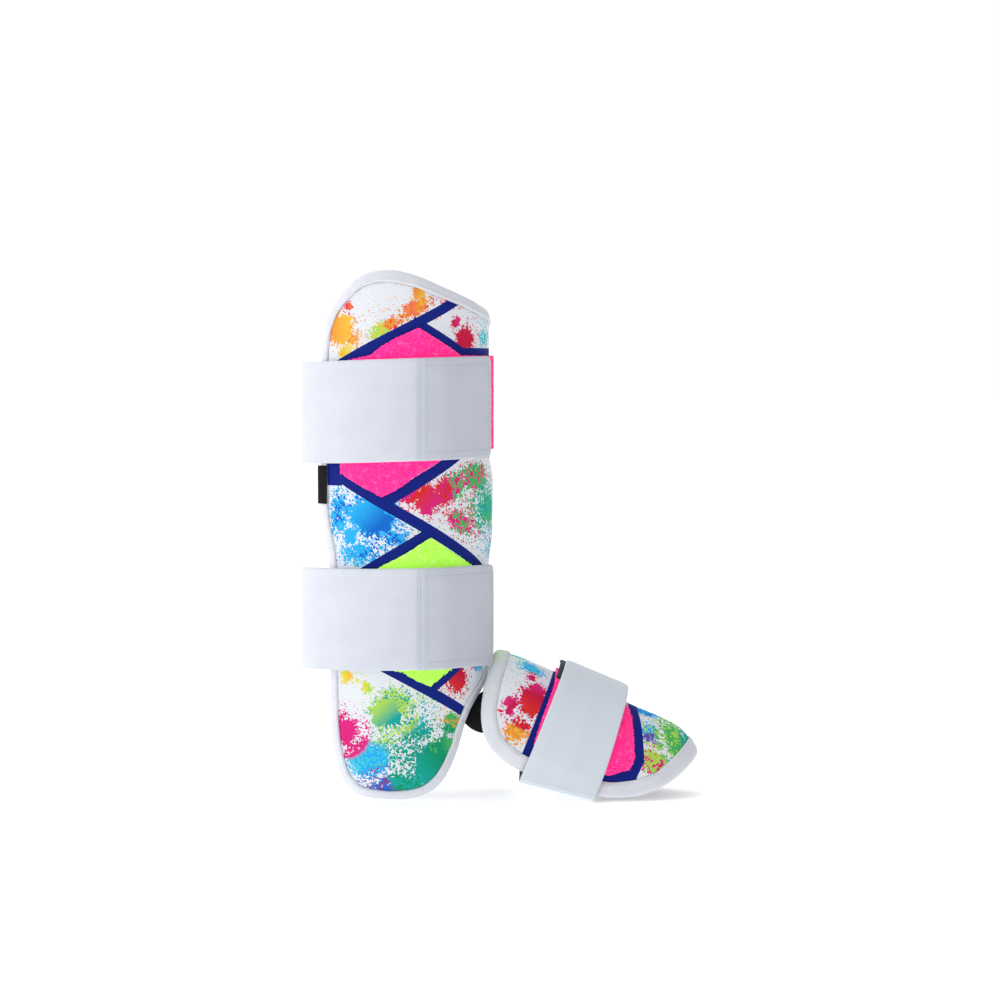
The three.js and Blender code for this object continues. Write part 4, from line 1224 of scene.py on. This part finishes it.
class MakeLoopPanels(bpy.types.Operator):
    """Makes the three panels of loop fabric and their standing loops."""

    bl_idname = "guard.loop_panels"
    bl_label = "Loop fabric"

    def execute(self, context):
        pink = brushed("Pink loop fabric", *colours("pink", "pink_tip_highlight", "pink_root_shade"))
        lime = brushed("Lime loop fabric", *colours("lime", "lime_tip_highlight", "lime_root_shade"))
        shin = (shin_point, turn_way, SHIN_HEIGHT)
        foot = (foot_across, fall_way, FOOT_LENGTH)
        upper, lower = (under_shin_strap(STRAP_LINES[name]) for name in ("upper_strap", "lower_strap"))
        rows = (
            ("upper_loop", shin, UPPER_LOOP, pink, "pink_loop", upper, 21),
            ("lower_loop", shin, LOWER_LOOP, lime, "lime_loop", lower, 25),
            ("foot_loop", foot, FOOT_LOOP, pink, "pink_loop", under_foot_strap, 29),
        )
        for name, (surface, to_way, scale), table, look, slot, covered, seed in rows:
            patch(name + "_panel", name + "_cloth", surface, table, to_way, scale, look, seed)
            fuzz(name + "_fuzz", surface, table, to_way, scale, covered, look, seed)
        return {"FINISHED"}


class MakeStraps(bpy.types.Operator):
    """Makes the two shin straps, their tabs and the tabs' stitches."""

    bl_idname = "guard.straps"
    bl_label = "Shin straps"

    def execute(self, context):
        elastic = woven("White elastic", *colours("elastic", "elastic_shade"), 0.8, 0.2)
        # The tabs take the darker tab colours, painted shade on the side away from the key light.
        hook = woven("Tab elastic", *colours("tab", "tab_shade"), 0.8, 0.2)
        # The stitches' grey is painted shade; the thread itself is white.
        thread = woven("White thread", *colours("thread", "thread_shade"), 0.5, 0.3)
        slot = "white_elastic"
        for name, line in STRAP_LINES.items():
            turn = np.linspace(STRAP_ROOT_TURN, 360 + TAB_START_TURN + TAB_OVERLAP_TURN, 260)
            strap = (name, name + "_elastic", shin_point)
            band(*strap, *strap_line(turn, line), STRAP_WIDTH, STRAP_THICKNESS, elastic, slot)
            turn = np.linspace(TAB_START_TURN, line["end"], 150)
            way, middle, base = strap_line(turn, line)
            base = base + tab_step(turn) + self.fold(turn)
            narrow = rounded_end(way[-1] - way, STRAP_WIDTH / 2, 3.5)
            tab = (name + "_tab", name + "_tab_elastic", shin_point)
            band(*tab, way, middle, base, STRAP_WIDTH, TAB_THICKNESS, hook, slot, narrow)
            self.sew(name, line, thread)
        return {"FINISHED"}

    def fold(self, turn):
        """The turned-in hem beside the tab's first row of stitches, as a bell-shaped ridge."""
        return HEM_RISE * np.exp(-(((turn - TAB_START_TURN - 3.4) / 1.3) ** 2))

    def sew(self, name, line, thread):
        """A box of stitches: one row down the tab's start and one along each edge."""
        first, last = TAB_START_TURN + 1, line["end"] - 3
        inside = STRAP_WIDTH / 2 - 5
        runs = {
            "start": (np.full(60, first), np.linspace(-inside, inside, 60)),
            "top": (np.linspace(first, last, 60), np.full(60, inside)),
            "bottom": (np.linspace(first, last, 60), np.full(60, -inside)),
            "end": (np.full(60, last), np.linspace(-inside, inside, 60)),
        }
        for part, (turn, across) in runs.items():
            way, middle, base = strap_line(turn, line)
            lift = base + tab_step(turn) + TAB_THICKNESS
            path, up = on_surface(shin_point, way, middle + across, lift)
            stitches(name + "_stitches_" + part, path, up, thread, 0.6, 0.2)


def tab_step(turn):
    """How far a tab lies above its strap's level: over the strap's end at first, then on the fabric."""
    past_end = turn - (TAB_START_TURN + TAB_OVERLAP_TURN)
    return (STRAP_THICKNESS + SEAM_GAP) * (1 - smoothstep(TAB_STEP_START, TAB_STEP_END, past_end))


class MakeFootStrap(bpy.types.Operator):
    """Makes the foot strap and its tab."""

    bl_idname = "guard.foot_strap"
    bl_label = "Foot strap"

    def execute(self, context):
        outer, shade, inner = colours("foot_elastic", "foot_elastic_shade", "foot_strap_inside")
        looks = (woven("Lined elastic", outer, shade, 0.8, 0.2, lining=inner), "white_elastic")
        heel = FOOT_STRAP_PLACE * FOOT_LENGTH
        way = np.linspace(FOOT_STRAP_START, FOOT_STRAP_END, 380)
        stand, over = smooth_rows(FOOT_STRAP_LIFT, way).T
        base = STRAP_LIFT * stand + (STRAP_THICKNESS + TAB_THICKNESS + 2 * SEAM_GAP) * over
        near_ends = np.maximum(smoothstep(0.7, FOOT_STRAP_END, way), 1 - smoothstep(0, 0.3, way))
        waist = FOOT_STRAP_WAIST * near_ends
        middle = heel + FOOT_STRAP_WIDTH / 2 * (1 - waist)
        narrow = rounded_end((way[-1] - way) * 300, FOOT_STRAP_WIDTH / 2, 5) - waist
        strap = ("foot_strap", "foot_strap_elastic", foot_loop_point)
        band(*strap, way, middle, base, FOOT_STRAP_WIDTH, STRAP_THICKNESS, *looks, narrow)
        way = np.linspace(FOOT_TAB_START, FOOT_TAB_END, 60)
        base = STRAP_LIFT * smooth_rows(FOOT_STRAP_LIFT, way)[:, 0] + STRAP_THICKNESS + SEAM_GAP
        middle = np.full_like(way, heel - FOOT_TAB_BACK + FOOT_TAB_WIDTH / 2)
        tab = ("foot_strap_tab", "foot_strap_tab_elastic", foot_loop_point)
        hook = woven("Grey hook tape", *colours("hook_tape", "hook_tape_shade"), 0.8, 0.5)
        band(*tab, way, middle, base, FOOT_TAB_WIDTH, TAB_THICKNESS, hook, looks[1])
        return {"FINISHED"}


class MakeTrims(bpy.types.Operator):
    """Makes the side label and the elastic link between the two guards."""

    bl_idname = "guard.trims"
    bl_label = "Label and link"

    def execute(self, context):
        black = woven("Black elastic", *colours("black", "black_shade"), 1.1, 0.5, 0.8, 0)
        middle = turn_way(LABEL_TURN)
        way = np.linspace(middle - LABEL_WIDTH / 2, middle + LABEL_WIDTH / 2, 24)
        strap_edge = STRAP_LINES["upper_strap"]["place"] * SHIN_HEIGHT - STRAP_WIDTH / 2
        low = strap_edge - LABEL_DROP - LABEL_HEIGHT
        level = np.full_like(way, low + LABEL_HEIGHT / 2)
        base = np.full_like(way, TAPE_RISE + SEAM_GAP)
        label = ("side_label", "side_label_cloth", shin_point)
        band(*label, way, level, base, LABEL_HEIGHT, LABEL_THICKNESS, black, "black_elastic")
        self.link(black)
        return {"FINISHED"}

    def link(self, black):
        """The link: two edges on curves through its seats, a ruled face between them, and the same face
        again moved inwards by the thickness."""
        shin_lift = -(SHIN_PAD_THICKNESS + TAPE_RISE + LINK_GAP)
        foot_lift = -(FOOT_PAD_THICKNESS + TAPE_RISE + LINK_GAP)
        edges = []
        rows = ((LINK_SHIN_TOP, LINK_FOOT_TOP), (LINK_SHIN_BOTTOM, LINK_FOOT_BOTTOM))
        for shin_seats, foot_seats in rows:
            seats = []
            for turn, share in shin_seats:
                seats.append(shin_point(turn_way(turn), share * SHIN_HEIGHT, shin_lift))
            for share, fall in foot_seats:
                seats.append(foot_point(share * FOOT_LENGTH, -fall_way(fall), foot_lift))
            edges.append(through(np.array(seats), 48))
        share = np.linspace(0, 1, 14)[None, :, None]
        face = edges[0][:, None] * (1 - share) + edges[1][:, None] * share
        inwards = np.array([-0.4, 0.9, 0])
        inwards *= LINK_THICKNESS / np.linalg.norm(inwards)
        points = np.concatenate([face, face[:, ::-1] + inwards], axis=1)
        count, size = points.shape[:2]
        lay = place(np.arange(count)[:, None] * 0.8, np.arange(size)[None] * 2.2, 0)
        faces = grid_faces(count, size, False)
        new_piece("ankle_link_elastic", points, faces, black, ("ankle_link",), lay)


def through(seats, samples):
    """Even points on a smooth curve through a few seats, by their share of the polyline's length."""
    length = np.concatenate([[0], np.cumsum(np.linalg.norm(np.diff(seats, axis=0), axis=1))])
    rows = np.column_stack([length, seats])
    return evenly(smooth_rows(rows, np.linspace(0, length[-1], samples * 3)), samples)


class MakeStage(bpy.types.Operator):
    """Sets the pale floor, the soft lights, the world and the camera."""

    bl_idname = "guard.stage"
    bl_label = "Stage"

    def execute(self, context):
        self.floor()
        for name, light in LIGHTS.items():
            self.light(name, **light)
        self.world()
        self.camera()
        return {"FINISHED"}

    def floor(self):
        corners = [(x * FLOOR_REACH, y * FLOOR_REACH, 0) for x, y in ((-1, -1), (1, -1), (1, 1), (-1, 1))]
        mesh = bpy.data.meshes.new("floor")
        mesh.from_pydata(corners, [], [(0, 1, 2, 3)])
        floor = bpy.data.objects.new("floor", mesh)
        finish = Finish("Floor", 0.9)
        finish.shader.inputs["Base Color"].default_value = (FLOOR_WHITE, FLOOR_WHITE, FLOOR_WHITE, 1)
        finish.shader.inputs["Emission Color"].default_value = (1, 1, 1, 1)
        finish.shader.inputs["Emission Strength"].default_value = FLOOR_GLOW
        mesh.materials.append(finish.material)
        bpy.context.collection.objects.link(floor)

    def light(self, name, at, size, power):
        lamp = bpy.data.lights.new(name, "AREA")
        lamp.size = size
        lamp.energy = power
        obj = bpy.data.objects.new(name, lamp)
        obj.location = at
        aim = obj.location.copy()
        aim.z -= LIGHT_AIM_HEIGHT
        obj.rotation_euler = aim.to_track_quat("Z", "Y").to_euler()
        bpy.context.collection.objects.link(obj)

    def world(self):
        """A white room that darkens to the right of the camera."""
        world = bpy.data.worlds.new("Studio")
        world.use_nodes = True
        tree = world.node_tree
        direction = add_node(tree, "ShaderNodeTexCoord").outputs["Generated"]
        inputs = {0: direction, 1: ROOM_SLOPE}
        slope = add_node(tree, "ShaderNodeVectorMath", {"operation": "DOT_PRODUCT"}, inputs)
        strength = Field(tree, slope.outputs["Value"]) + ROOM_LEVEL
        background = tree.nodes["Background"]
        background.inputs["Color"].default_value = ROOM_WHITE
        tree.links.new(strength.socket, background.inputs["Strength"])
        bpy.context.scene.world = world

    def camera(self):
        camera = bpy.data.cameras.new("Camera")
        camera.sensor_width = CAMERA_SENSOR
        camera.lens = CAMERA_LENS
        camera.clip_end = CAMERA_FAR
        obj = bpy.data.objects.new("Camera", camera)
        obj.location = CAMERA_AT
        obj.rotation_euler = (math.radians(90) - CAMERA_TILT, 0, 0)
        bpy.context.collection.objects.link(obj)
        bpy.context.scene.camera = obj
        bpy.context.scene.view_settings.view_transform = "Standard"


class GuardPanel(bpy.types.Panel):
    """Lists the guard's sizes, colours and operators."""

    bl_idname = "VIEW3D_PT_guard"
    bl_label = "Leg Guard"
    bl_space_type = "VIEW_3D"
    bl_region_type = "UI"
    bl_category = "Leg Guard"

    def draw(self, context):
        for key in GuardSizes.__annotations__:
            self.layout.prop(context.scene.guard_sizes, key)
        for key in GuardColours.__annotations__:
            self.layout.prop(context.scene.guard_colours, key)
        for maker in MAKERS:
            self.layout.operator(maker.bl_idname)


MAKERS = (MakeShells, MakeBindings, MakeLoopPanels, MakeStraps, MakeFootStrap, MakeTrims, MakeStage)
CLASSES = (GuardSizes, GuardColours, *MAKERS, GuardPanel)


def register():
    for kind in CLASSES:
        bpy.utils.register_class(kind)
    bpy.types.Scene.guard_sizes = bpy.props.PointerProperty(type=GuardSizes)
    bpy.types.Scene.guard_colours = bpy.props.PointerProperty(type=GuardColours)


def unregister():
    del bpy.types.Scene.guard_colours
    del bpy.types.Scene.guard_sizes
    for kind in reversed(CLASSES):
        bpy.utils.unregister_class(kind)


def main():
    """Registers the add-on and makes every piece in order."""
    register()
    bpy.ops.guard.shells()
    bpy.ops.guard.bindings()
    bpy.ops.guard.loop_panels()
    bpy.ops.guard.straps()
    bpy.ops.guard.foot_strap()
    bpy.ops.guard.trims()
    bpy.ops.guard.stage()


if __name__ == "__main__":
    main()
